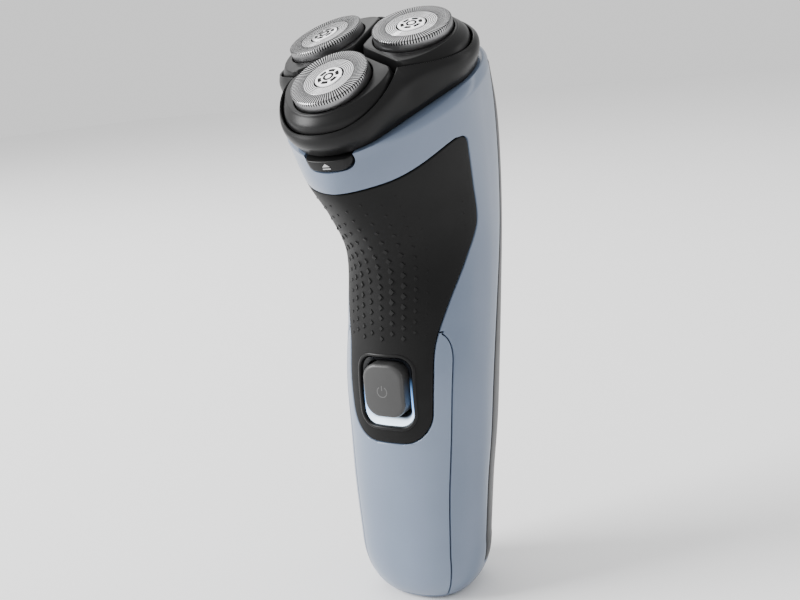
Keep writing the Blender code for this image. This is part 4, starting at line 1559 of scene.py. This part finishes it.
    def cut_openings(self, housing: bpy.types.Object, grip: bpy.types.Object) -> None:
        """Cut the button recess, the release notch, the hinge notch and the socket hole.

        Args:
            housing: The housing, with the last three.
            grip: The grip, with the first.
        """
        carve(grip, self.recess.rings(), front_frame(self.recess_z))
        rings = []
        for lift in [*np.linspace(0.0, self.notch_heel, 9), self.notch.high]:
            inset = heel_inset(self.notch_heel, min(lift, self.notch_heel))
            level = self.notch._replace(width=self.notch.width - 2 * inset, high=lift)
            rings.append(level.rings()[1])
        carve(housing, np.array(rings), head_frame(*self.notch_at))
        carve(housing, self.hinge.rings(), head_frame(*self.hinge_at))
        carve(housing, self.socket.rings(), Matrix.Translation(self.socket_at))


# ---------------------------------------------------------------- grip texture
@dataclass
class GripBumps:
    """Low arrow-shaped bumps moulded into the grip, in staggered rows."""

    surface: HandleSurface
    pitch: float = 5.4
    row_pitch: float = 1.4
    low_z: float = 79.5
    high_z: float = 119.0
    length: float = 2.3
    width: float = 2.1
    height: float = 0.36
    arc_radius: float = 21.0
    columns: int = 5
    sunk: float = 0.15
    rise: tuple[float, ...] = (0.12, 0.55, 0.8, 1.0, 0.8, 0.55)
    least: float = 0.22
    middle: float = -2.0
    sideways: Ramp = Ramp(14.0, 30.0)
    upwards: Ramp = Ramp(4.9, 1.7)
    upper_loss: float = 0.55
    downwards: Ramp = Ramp(3.9, 0.7)
    lower_loss: float = 0.2
    wing_angle: float = 56.0
    wing_spread: float = 5.0
    wing_t: float = 5.75
    wing_reach: float = 0.65
    wing_share: float = 0.42

    def shape(self) -> bpy.types.Object:
        """Make one bump: a ramp that rises to an arrow-shaped end.

        Returns:
            The bump's object.
        """
        back, tip, half = -self.length / 2, self.length / 2, self.width / 2
        notch = back + 0.45 * self.length
        foot = [(back, 0.0), (notch - 0.3, -half), (notch + 0.2, -half), (tip, 0.0)]
        foot += [(x, -y) for x, y in foot[2:0:-1]]
        top = [(back + 0.5, 0.0), (notch, 0.28 - half), (notch + 0.15, 0.28 - half), (tip - 0.42, 0.0)]
        top += [(x, -y) for x, y in top[2:0:-1]]
        points = [(x, y, -self.sunk) for x, y in foot]
        points += [(x, y, self.height * share) for (x, y), share in zip(top, self.rise)]
        faces = [[5, 4, 3, 2, 1, 0], [6, 7, 8, 9], [6, 9, 10, 11]]
        faces += [[k, (k + 1) % 6, 6 + (k + 1) % 6, 6 + k] for k in range(6)]
        return make_mesh("bump_shape", np.array(points), faces, None)

    def strength(self, t: np.ndarray, degrees: np.ndarray) -> np.ndarray:
        """Size the bumps: full in the middle of the front, fading outwards.

        Args:
            t: Heights counted in stations.
            degrees: Angles from the front, in degrees.

        Returns:
            A size from 0 to 1 for each bump.
        """
        across = 1 - self.sideways.at(np.abs(degrees - self.middle))
        upper = 1 - self.upper_loss * self.upwards.at(t)
        lower = 1 - self.lower_loss * (1 - self.downwards.at(t))
        beside = (np.abs(degrees) - self.wing_angle) / self.wing_spread
        above = (t - self.wing_t) / self.wing_reach
        wing = np.exp(-(beside**2) - above**2)
        return np.maximum(across * upper * lower, self.wing_share * wing)

    def build(self) -> None:
        """Set the bumps on the grip."""
        heights, degrees = [], []
        rows = int((self.high_z - self.low_z) / self.row_pitch)
        for row in range(rows):
            z = np.array([self.low_z + row * self.row_pitch])
            t = float(self.surface.at_front(np.zeros(1), z)[0][0])
            for column in range(-self.columns, self.columns + 1):
                arc = self.pitch * (column + 0.5 * (row % 2))
                heights.append(t)
                degrees.append(math.degrees(arc / self.arc_radius))
        t, degrees = np.array(heights), np.array(degrees)
        sizes = self.strength(t, degrees)
        kept = sizes > self.least
        t, degrees, sizes = t[kept], degrees[kept], sizes[kept]
        angle = np.radians(degrees)
        points = self.surface.point(t, angle)
        normal = -self.surface.inward(t, angle)
        across = self.surface.point(t, angle + 0.01) - points
        turns = []
        for out, side in zip(normal, across):
            z_axis, x_axis = Vector(out), Vector(side)
            x_axis = (x_axis - z_axis * x_axis.dot(z_axis)).normalized()
            columns = (x_axis, z_axis.cross(x_axis), z_axis)
            turns.append(tuple(Matrix(columns).transposed().to_euler()))
        scatter = Scatter("grip_bumps")
        piece = scatter.build(points, np.array(turns), sizes, self.shape(), RUBBER.build())
        settle(piece, "handle")


# ---------------------------------------------------------------- button
@dataclass
class PowerButton:
    """Recess lining with its raised lip, the light guide, the button and its power mark."""

    surface: HandleSurface
    recess_z: float = 64.5
    recess_width: float = 17.2
    recess_height: float = 20.6
    recess_corner: float = 4.6
    floor: float = 10.0
    back: float = 8.6
    width: float = 12.6
    height: float = 15.2
    corner: float = 4.3
    centre_z: float = 65.1
    crown: float = 16.1
    sag: float = 0.45
    edge: float = 0.9
    lip: Profile = (
        (-0.5, 0.03),
        (-0.46, 0.13),
        (-0.3, 0.22),
        (-0.08, 0.26),
        (0.16, 0.24),
        (0.34, 0.1),
        (0.42, -0.15),
        (0.5, -1.4),
    )
    face_insets: tuple[float, ...] = (1.3, 1.9, 2.6, 3.4, 4.2, 5.0, 5.7)
    mark_radius: float = 1.5
    mark_thickness: float = 0.16
    mark_gap: float = math.radians(32.0)
    mark_bar: tuple[float, float] = (0.35, 1.75)

    def outline(self, inset: float) -> np.ndarray:
        """Return the recess outline moved inwards, as (x, z) points around its centre."""
        width, height = self.recess_width - 2 * inset, self.recess_height - 2 * inset
        return rounded_outline(width, height, self.recess_corner - inset)

    def on_surface(self, inset: float, lift: float) -> np.ndarray:
        """Lay the recess outline on the grip's surface.

        Args:
            inset: How far the outline is moved inwards.
            lift: How far it is lifted off the surface.

        Returns:
            World points in millimetres.
        """
        flat = self.outline(inset)
        t, angle = self.surface.at_front(flat[:, 0], flat[:, 1] + self.recess_z)
        return self.surface.point(t, angle) - self.surface.inward(t, angle) * lift

    def at_depth(self, flat: np.ndarray, depth: Union[float, np.ndarray]) -> np.ndarray:
        """Return (x, z) points around the recess centre at a distance in front of the axis."""
        return np.stack([flat[:, 0], 0 * flat[:, 0] - depth, flat[:, 1] + self.recess_z], -1)

    def button_outline(self, inset: float) -> np.ndarray:
        """Draw the button's outline.

        Args:
            inset: How far it is moved inwards.

        Returns:
            The (x, z) points around the recess centre.
        """
        corner = max(self.corner - 0.75 * inset, 0.35)
        flat = rounded_outline(self.width - 2 * inset, self.height - 2 * inset, corner)
        return flat + np.array([0.0, self.centre_z - self.recess_z])

    def build_bezel(self) -> None:
        """Make the lining of the recess with a lip that lies on the grip."""
        rings = [self.on_surface(inset, lift) for inset, lift in self.lip]
        rings += [
            self.at_depth(self.outline(0.6), self.floor),
            self.at_depth(self.button_outline(-0.5), self.floor),
            self.at_depth(self.button_outline(-0.5), self.back),
            self.at_depth(self.outline(0.3), self.back),
            self.on_surface(0.3, -0.2),
            self.on_surface(0.2, 0.03),
        ]
        made = make_mesh("button_surround", *skin(np.array(rings), looped=True), BLACK.build(), 60.0)
        settle(made, "handle", ["button_bezel"])

    def build_light(self) -> None:
        """Make the sloping light guide between the recess wall and the button."""
        rings = [
            self.on_surface(0.66, -0.75),
            self.on_surface(1.0, -1.1),
            self.at_depth(self.outline(2.1), 11.9),
            self.at_depth(self.button_outline(-0.55), 11.0),
            self.at_depth(self.button_outline(-0.55), self.floor + 0.1),
            self.at_depth(self.outline(0.75), self.floor + 0.1),
        ]
        made = make_mesh("light_guide_ring", *skin(np.array(rings), looped=True), GLOW.build(), 40.0)
        settle(made, "handle", ["indicator_light_ring"])

    def face_depth(self, flat: np.ndarray) -> np.ndarray:
        """Return how far in front of the axis the button's crowned face lies."""
        x, z = flat[:, 0], flat[:, 1] - (self.centre_z - self.recess_z)
        return self.crown - self.sag * ((2 * x / self.width) ** 2 + (2 * z / self.height) ** 2)

    def build_button(self) -> None:
        """Make the button with a crowned face and a rounded edge."""
        rings = [self.at_depth(self.button_outline(0.0), self.back + 0.6)]
        for inset, drop in quarter_turn(6):
            flat = self.button_outline(self.edge * inset)
            rings.append(self.at_depth(flat, self.face_depth(flat) - self.edge * drop))
        for inset in self.face_insets:
            flat = self.button_outline(inset)
            rings.append(self.at_depth(flat, self.face_depth(flat)))
        made = make_mesh("button", *skin(np.array(rings)), BUTTON_GREY.build(), 50.0)
        settle(made, "power_button", ["power_button"])

    def build_mark(self) -> None:
        """Make the power mark: an open ring with a short bar in its gap."""
        angles = math.pi / 2 + np.linspace(self.mark_gap, math.tau - self.mark_gap, 41)
        line = self.mark_radius * np.stack([np.cos(angles), np.sin(angles)], -1)
        bar = np.stack([np.zeros(5), np.linspace(*self.mark_bar, 5)], -1)
        offset = np.array([0.0, self.centre_z - self.recess_z])
        for name, path in (("power_mark_ring", line), ("power_mark_bar", bar)):
            along = np.gradient(path, axis=0)
            along /= np.linalg.norm(along, axis=1, keepdims=True)
            side = np.stack([-along[:, 1], along[:, 0]], -1) * self.mark_thickness
            rings = []
            for sideways, lift in ((-1.0, -0.2), (1.0, -0.2), (0.8, 0.03), (-0.8, 0.03)):
                flat = path + side * sideways + offset
                rings.append(self.at_depth(flat, self.face_depth(flat) + lift))
            sections = np.array(rings).transpose(1, 0, 2)
            made = make_mesh(name, *skin(sections), MARK_GREY.build())
            settle(made, "power_button")

    def build(self) -> None:
        """Make every piece of the button."""
        self.build_bezel()
        self.build_light()
        self.build_button()
        self.build_mark()


@dataclass
class ReleaseButton:
    """Head release button with its eject mark."""

    width: float = 13.6
    front_v: float = -30.2
    back_v: float = -24.8
    top_h: float = -14.7
    bottom_h: float = -17.7
    bend: float = 20.0
    edge: float = 0.35
    corner: float = 1.7
    heel: float = 1.9
    triangle: Profile = ((-1.1, 0.0), (1.1, 0.0), (0.0, 0.95))
    bar: Profile = ((-1.1, -0.72), (1.1, -0.72), (1.1, -0.44), (-1.1, -0.44))

    def outline(self, inset: float, height: float) -> np.ndarray:
        """Draw the button's outline in the head plane, narrower near the bottom.

        Args:
            inset: How far it is moved inwards.
            height: Its height in the head frame.

        Returns:
            The (x, v) points.
        """
        lift = min(height - self.bottom_h, self.heel)
        half = self.width / 2 - inset - heel_inset(self.heel, lift)
        x = np.linspace(-half, half, 33)
        droop = np.clip((np.abs(x) - (half - self.corner)) / self.corner, 0.0, 1.0)
        v = self.front_v + inset + self.bend - np.sqrt(self.bend**2 - x**2)
        v = v + self.corner * (1 - np.sqrt(1 - droop**2))
        front = np.stack([x, v], -1)
        back = np.array([(half, self.back_v - inset), (-half, self.back_v - inset)])
        return np.concatenate([front, back])

    def build(self) -> None:
        """Make the button and the mark on its front."""
        edge, low, high = self.edge, self.bottom_h, self.top_h
        levels = [(edge * drop, low + edge * inset) for inset, drop in quarter_turn(4)]
        levels += [(0.0, height) for height in np.linspace(low + edge, low + self.heel, 8)[1:]]
        levels += [(edge * inset, high - edge * drop) for inset, drop in quarter_turn(4)]
        rings = [stacked(self.outline(inset, height), height) for inset, height in levels]
        points, faces = skin(np.array(rings))
        made = make_mesh("release_tab", moved(head_frame(), points), faces, BLACK.build(), 40.0)
        settle(made, "release_button", ["release_button"])
        middle = (self.top_h + self.bottom_h) / 2
        place = head_frame(0.0, self.front_v, middle) @ Matrix.Rotation(math.pi / 2, 4, "X")
        marks = (("eject_triangle", self.triangle, ["eject_mark"]), ("eject_bar", self.bar, []))
        for name, shape, nodes in marks:
            flat = np.array(shape)
            points, faces = skin(np.array([stacked(flat, -0.3), stacked(flat, 0.05)]))
            made = make_mesh(name, moved(place, points), faces, MARK_SILVER.build())
            settle(made, "release_button", nodes)


# ---------------------------------------------------------------- head
@dataclass
class Collar:
    """Black collar around the three shaving heads."""

    count: int = 288
    offset: float = 14.0
    corner: float = 15.2
    bottom_h: float = -14.0
    chamfer: float = 1.3
    crease: float = 0.296
    crease_width: float = 7.0
    bulge_share: float = 0.55
    bulge: float = 1.0
    wall: float = 2.2
    hinge_v: float = 22.7
    hinge_h: float = -14.2
    barrel: Profile = ((0.9, -5.0), (1.35, -5.0), (1.5, -4.85), (1.5, 4.85), (1.35, 5.0), (0.9, 5.0))

    def rings(self) -> np.ndarray:
        """Make the collar's rings, from its inner foot over the rim to its outer foot.

        Returns:
            The rings in the head frame.
        """
        angle = -math.pi / 2 + np.linspace(0.0, math.tau, self.count, endpoint=False)
        top, rim = rim_point(angle)
        foot = hull_radius(angle, self.offset, self.corner)
        middle = (rim + self.bottom_h) / 2
        away = 60.0 - np.degrees(lobe_fold(angle))
        soft = top + self.crease * (np.hypot(away, self.crease_width) - away)
        bulge = soft + self.bulge_share * (foot - soft) + self.bulge
        knots = np.array(
            [
                [top + 0.55, rim],
                [soft + 0.7 * (bulge - soft) + 0.5, rim + 0.45 * (middle - rim)],
                [bulge, middle],
                [foot, self.bottom_h + self.chamfer + 0 * foot],
            ]
        )
        inner, ledge = foot - self.wall, self.bottom_h + self.chamfer
        sections = [
            (inner, self.bottom_h),
            (np.maximum(top, inner), self.bottom_h + 4.0),
            (top, rim - 0.6),
            (top + 0.06, rim - 0.25),
            (top + 0.25, rim - 0.05),
            *curve_through(knots),
            (foot, ledge),
            (foot - 0.12, ledge - 0.2),
            (foot - 0.5, self.bottom_h),
        ]
        return rings_at(angle, sections)

    def build(self) -> None:
        """Make the collar with its hinge barrel."""
        points, faces = skin(self.rings(), looped=True)
        collar = make_mesh("collar", moved(head_frame(), points), faces, BLACK.build(), 38.0)
        settle(collar, "head", ["head_collar"])
        sideways = head_frame(0.0, self.hinge_v, self.hinge_h) @ Matrix.Rotation(math.pi / 2, 4, "Y")
        points, faces = skin(revolve(self.barrel, 32), looped=True)
        made = make_mesh("hinge_barrel", moved(sideways, points), faces, BLACK.build())
        settle(made, "head")


@dataclass
class ShavingHead:
    """One shaving head: petal, slotted guard, grooved ring, hub and the marks on it."""

    lobe: Lobe
    count: int = 240
    slot_width: float = 0.37
    slots: int = 90
    hole: float = 10.65
    petal_top: float = -2.6
    petal_waist: float = -4.6
    petal_edge: float = -6.2
    petal_bottom: float = -7.0
    petal_gap: float = 0.34
    petal_corner: float = 22.0
    petal_slope: float = 0.5
    petal_skirt: float = 2.1
    skirt_share: float = 0.26
    outwards: Ramp = Ramp(-0.6, 1.6)
    groove: float = 2.2
    wall: Profile = (
        (9.8, -0.95),
        (10.3, -0.95),
        (10.3, -4.3),
        (10.2, -4.6),
        (9.75, -4.6),
        (9.75, -1.2),
    )
    rib_top: Profile = (
        (6.8, -0.06),
        (8.3, -0.03),
        (9.75, 0.0),
        (10.06, -0.06),
        (10.25, -0.24),
        (10.3, -0.5),
        (10.3, -1.0),
    )
    rib_depth: Profile = (
        (0.0, -0.22),
        (0.0, -0.2),
        (0.0, -0.2),
        (-0.12, -0.2),
        (-0.2, -0.1),
        (-0.2, 0.0),
        (-0.2, 0.0),
    )
    # Section of the dark sheet under the ribs: painted shade seen through the slots.
    under_ribs: Profile = (
        (6.85, -0.13),
        (8.3, -0.1),
        (9.72, -0.07),
        (9.99, -0.13),
        (10.17, -0.29),
        (10.22, -0.52),
        (10.22, -1.05),
        (9.6, -1.05),
        (6.85, -0.6),
    )
    ring_from: float = 4.05
    ring_to: float = 6.6
    ring_pitch: float = 0.46
    ring_depth: float = 0.08
    hub: Profile = (
        (3.3, -0.9),
        (3.62, -0.85),
        (3.7, -0.3),
        (3.6, -0.05),
        (3.4, 0.0),
        (2.6, 0.035),
        (1.6, 0.06),
        (0.6, 0.07),
    )
    arcs: int = 6
    arc_half: float = 21.0
    arc_section: Profile = ((1.9, -0.2), (2.85, -0.2), (2.85, 0.06), (1.9, 0.08))
    loop: Profile = ((0.85, -0.2), (1.45, -0.2), (1.45, 0.095), (0.85, 0.1))

    def reach(self, angle: np.ndarray) -> np.ndarray:
        """Find the petal's edge.

        Args:
            angle: Angles about the guard's axis, in radians.

        Returns:
            How far the petal reaches from the guard's axis at each angle.
        """
        s, c = np.sin(angle), np.cos(angle)
        low, high = 0 * angle + self.hole, 0 * angle + 2 * HEAD_OFFSET
        shift, halvings = self.petal_edge * math.sin(HEAD_SPLAY) + HEAD_OFFSET, 20
        for _ in range(halvings):
            reach = (low + high) / 2
            x = reach * c * math.cos(HEAD_SPLAY) + shift
            rim, _ = rim_point(np.arctan2(reach * s, x) - math.pi / 2)
            inside = np.hypot(x, reach * s) < rim - self.petal_gap
            low, high = np.where(inside, reach, low), np.where(inside, high, reach)
        inset = HEAD_OFFSET * math.sin(math.pi / 3) - self.groove / 2
        for side in (-1, 1):
            toward = -c * math.sin(math.pi / 3) + side * s * math.cos(math.pi / 3)
            straight = inset / np.maximum(toward, 1e-3)
            power = -self.petal_corner
            reach = (reach**power + straight**power) ** (1 / power)
        return reach

    def add(
        self,
        name: str,
        rings: np.ndarray,
        finish: bpy.types.Material,
        sharp: float,
        body: str,
        slot: Slot,
        nodes: Sequence[str] = (),
    ) -> None:
        """Make one closed loop of rings in the guard's frame and hand it to the frame.

        Args:
            name: The piece's name.
            rings: Its rings in the guard's frame.
            finish: Its material.
            sharp: The angle, in degrees, above which an edge shows.
            body: The CAD body it rides on.
            slot: Not used.
            nodes: The CAD nodes that it stands for.
        """
        points, faces = skin(rings, looped=True)
        made = make_mesh(name, moved(guard_frame(self.lobe), points), faces, finish, sharp)
        settle(made, body, nodes)

    def build_petal(self) -> None:
        """Make the petal with its flat top, crisp bevel and rounded skirt."""
        angle = np.linspace(0.0, math.tau, self.count, endpoint=False)
        reach = self.reach(angle)
        slope = self.petal_slope + self.petal_skirt * self.outwards.at(np.cos(angle))
        edge = np.maximum(reach - slope - 0.35, self.hole + 0.3)
        waist = np.maximum(reach - slope * self.skirt_share, edge + 0.5)
        hole, top, bottom = self.hole, self.petal_top, self.petal_bottom
        knots = np.array(
            [
                [edge + 0.42, 0 * angle + top - 0.3],
                [waist, 0 * angle + self.petal_waist],
                [reach, 0 * angle + self.petal_edge],
            ]
        )
        sections = [
            (hole, bottom),
            (hole, top - 0.25),
            (hole + 0.08, top - 0.07),
            (hole + 0.2, top),
            (edge, top),
            (edge + 0.2, top - 0.05),
            (edge + 0.34, top - 0.15),
            *curve_through(knots),
            (reach, self.petal_edge),
            (reach - 0.2, bottom),
        ]
        rings, name = rings_at(angle, sections), f"petal_{self.lobe.side}"
        self.add(f"petal_shell_{self.lobe.side}", rings, BLACK.build(), 28.0, name, Slot.BLACK, [name])

    def rib(self) -> bpy.types.Object:
        """Make one rib between two slots: along the top and down over the rim.

        Returns:
            The rib's object.
        """
        pitch = math.tau / self.slots
        rings = []
        for (radius, z), (back, down) in zip(self.rib_top, self.rib_depth):
            half = (radius * pitch - self.slot_width) / 2
            upper = [(radius, -half, z), (radius, half, z)]
            lower = [(radius + back, half, z + down), (radius + back, -half, z + down)]
            rings.append(upper + lower)
        points, faces = skin(np.array(rings))
        return make_mesh("rib_shape", points, faces, None)

    def ring_profile(self) -> Profile:
        """Draw the section of the ring between the ribs and the hub, with its grooves.

        Returns:
            The (radius, z) points.
        """
        first, last = self.ring_from - 0.1, self.ring_to + 0.35
        profile = [(first, -0.75), (first, -0.24)]
        for radius in np.arange(self.ring_from, self.ring_to, self.ring_pitch):
            level = -0.22 + 0.14 * (radius - self.ring_from) / 2.5
            low = level - self.ring_depth
            profile += [(radius, low), (radius + 0.04, level)]
            profile += [(radius + 0.26, level), (radius + 0.3, low)]
        return [*profile, (self.ring_to + 0.12, -0.22), (last, -0.22), (last + 0.03, -0.75)]

    def build_guard(self) -> None:
        """Make the guard: side wall, ribs, the dark sheet of painted shade under them, grooved ring and
        hub.
        """
        body, side = f"guard_{self.lobe.side}", self.lobe.side
        place = guard_frame(self.lobe)
        local = metres(place)
        # The ribs' darker steel is painted shade between the slots.
        steel = RIB_STEEL.build(local)
        # The side wall's dark steel is painted shade in the gap round the guard.
        wall, satin = revolve(self.wall, 160), WALL_STEEL.build(local)
        self.add(f"guard_wall_{side}", wall, satin, 30.0, body, Slot.STEEL, [f"guard_{side}"])
        ribs = RingArray(f"guard_ribs_{side}", self.slots).build(self.rib(), steel, place)
        settle(ribs, body)
        # Dark sheet under the ribs: painted shade in the slots.
        dark = revolve(self.under_ribs, 160)
        self.add(f"guard_slots_{side}", dark, DARK_MARKS_AND_SLOT_SHADE.build(), 30.0, body, Slot.BLACK)
        ring, grooved = revolve(self.ring_profile(), 144), RING_STEEL.build(local)
        self.add(f"guard_ring_{side}", ring, grooved, 20.0, body, Slot.STEEL)
        points, faces = skin(revolve(self.hub, 96))
        # The hub's near-white steel is painted highlight.
        polished = HUB_STEEL.build(local)
        hub = make_mesh(f"hub_{side}", moved(place, points), faces, polished, 25.0)
        settle(hub, body, [f"guard_hub_{side}"])

    def build_marks(self) -> None:
        """Make the six arcs and the ring on the hub."""
        dark, body, place = DARK_MARKS_AND_SLOT_SHADE.build(), f"guard_{self.lobe.side}", guard_frame(self.lobe)
        rings = []
        for angle in np.radians(np.linspace(-self.arc_half, self.arc_half, 9)):
            turn = (math.cos(angle), math.sin(angle))
            rings.append([(radius * turn[0], radius * turn[1], z) for radius, z in self.arc_section])
        shape = make_mesh("arc_shape", *skin(np.array(rings)), None)
        arcs = RingArray(f"hub_arcs_{self.lobe.side}", self.arcs).build(shape, dark, place)
        settle(arcs, body)
        self.add(f"hub_loop_{self.lobe.side}", revolve(self.loop, 48), dark, SHARP, body, Slot.BLACK)

    def build(self) -> None:
        """Make every piece of the shaving head."""
        self.build_petal()
        self.build_guard()
        self.build_marks()


# ---------------------------------------------------------------- carried-over nodes
@dataclass
class InnerParts:
    """Finishes of the CAD nodes that stay as they are."""

    def dress(self, node: str, finish: bpy.types.Material) -> None:
        """Give one CAD node its finish.

        Args:
            node: The node's name.
            finish: Its material.
        """
        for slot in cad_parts[node].material_slots:
            slot.material = finish
        LOG.info("%s wears %s", node, finish.name)

    def build(self) -> None:
        """Dress every node that shows or lies inside."""
        black, steel, nylon = BLACK.build(), PLAIN_STEEL.build(), NYLON.build()
        metal = STEEL.build(metres(head_frame()))
        finishes = {
            "charging_socket": black,
            "socket_pin_left": BRASS.build(),
            "socket_pin_right": BRASS.build(),
            "inner_chassis": black,
            "circuit_board": GREEN_BOARD.build(),
            "tactile_switch": steel,
            "indicator_led": NYLON.build(),
            "battery_cell": WRAP.build(),
            "motor_can": steel,
            "motor_end_cap": nylon,
            "motor_plate": black,
            "motor_pinion": nylon,
            "drive_deck": black,
            "neck_seal_ring": RUBBER.build(),
            "release_leaf_spring": steel,
            "head_hinge_pin": steel,
            "head_base_plate": black,
            "centre_post": black,
        }
        for lobe in Lobe:
            finishes[f"drive_gear_{lobe.side}"] = nylon
            finishes[f"drive_spindle_{lobe.side}"] = metal
            finishes[f"cutter_retainer_{lobe.side}"] = nylon
            # The cutters' near-black steel is painted shade inside the heads.
            finishes[f"cutter_{lobe.side}"] = DARK_STEEL.build(metres(guard_frame(lobe)))
        for node, finish in finishes.items():
            self.dress(node, finish)


# ---------------------------------------------------------------- studio
class SoftBox(NamedTuple):
    """One area light: its place and its width and height in metres, and its power in watts."""

    name: str
    place: tuple[float, float, float]
    size: tuple[float, float]
    power: float


@dataclass
class Studio:
    """Floor, lights and camera."""

    floor_size: float = 8.0
    aim: tuple[float, float, float] = (0.0, 0.0, 0.09)
    boxes: tuple[SoftBox, ...] = (
        SoftBox("key_box", (-1.7, -1.15, 1.15), (1.0, 1.4), 105.0),
        SoftBox("edge_box", (0.9, 0.55, 0.3), (0.25, 0.9), 2.0),
        SoftBox("top_box", (-0.5, 0.25, 0.98), (0.9, 0.8), 4.5),
    )
    eye: tuple[float, float, float] = (0.135175, -0.226488, 0.150075)
    right: tuple[float, float, float] = (0.86439, 0.49387, -0.09441)
    up: tuple[float, float, float] = (-0.03623, 0.24846, 0.96797)
    forward: tuple[float, float, float] = (-0.50151, 0.83328, -0.23266)
    lens: float = 43.5

    def build_floor(self) -> None:
        """Make the pale floor under the shaver."""
        half = self.floor_size / 2 / MM
        corners = ((-half, -half), (half, -half), (half, half), (-half, half))
        points = stacked(np.array(corners), 0.0)
        floor = make_mesh("floor", points, [[0, 1, 2, 3]], FLOOR.build())

    def light(self, box: SoftBox) -> None:
        """Add one soft area light that faces the middle of the shaver.

        Args:
            box: The light's name, place, size and power.
        """
        data = bpy.data.lights.new(box.name, "AREA")
        data.shape = "RECTANGLE"
        data.size, data.size_y = box.size
        data.energy = box.power
        lamp = bpy.data.objects.new(box.name, data)
        lamp.location = box.place
        toward = Vector(self.aim) - Vector(box.place)
        lamp.rotation_euler = toward.to_track_quat("-Z", "Y").to_euler()
        bpy.context.collection.objects.link(lamp)

    def build_lights(self) -> None:
        """Add the soft boxes and the pale surroundings."""
        for box in self.boxes:
            self.light(box)
        world = bpy.data.worlds.new("studio")
        world.use_nodes = True
        background = world.node_tree.nodes["Background"]
        background.inputs["Color"].default_value = (1.0, 1.0, 1.0, 1.0)
        background.inputs["Strength"].default_value = 1.0
        bpy.context.scene.world = world

    def build_camera(self) -> None:
        """Add the camera."""
        data = bpy.data.cameras.new("camera")
        data.lens = self.lens
        data.sensor_width = 36.0
        camera = bpy.data.objects.new("camera", data)
        columns = (Vector(self.right), Vector(self.up), -Vector(self.forward))
        turn = Matrix(columns).transposed().to_4x4()
        camera.matrix_world = Matrix.Translation(self.eye) @ turn
        bpy.context.collection.objects.link(camera)
        bpy.context.scene.camera = camera

    def build(self) -> None:
        """Set up the whole studio."""
        self.build_floor()
        self.build_lights()
        self.build_camera()


def main() -> None:
    """Build every sub-assembly around the frame, then the studio."""
    logging.basicConfig(level=logging.INFO, format="%(message)s")
    surface = HandleSurface()
    Studio().build()
    ShellPieces(surface).build()
    GripBumps(surface).build()
    PowerButton(surface).build()
    ReleaseButton().build()
    Collar().build()
    for lobe in Lobe:
        ShavingHead(lobe).build()
    InnerParts().build()


if __name__ == "__main__":
    main()
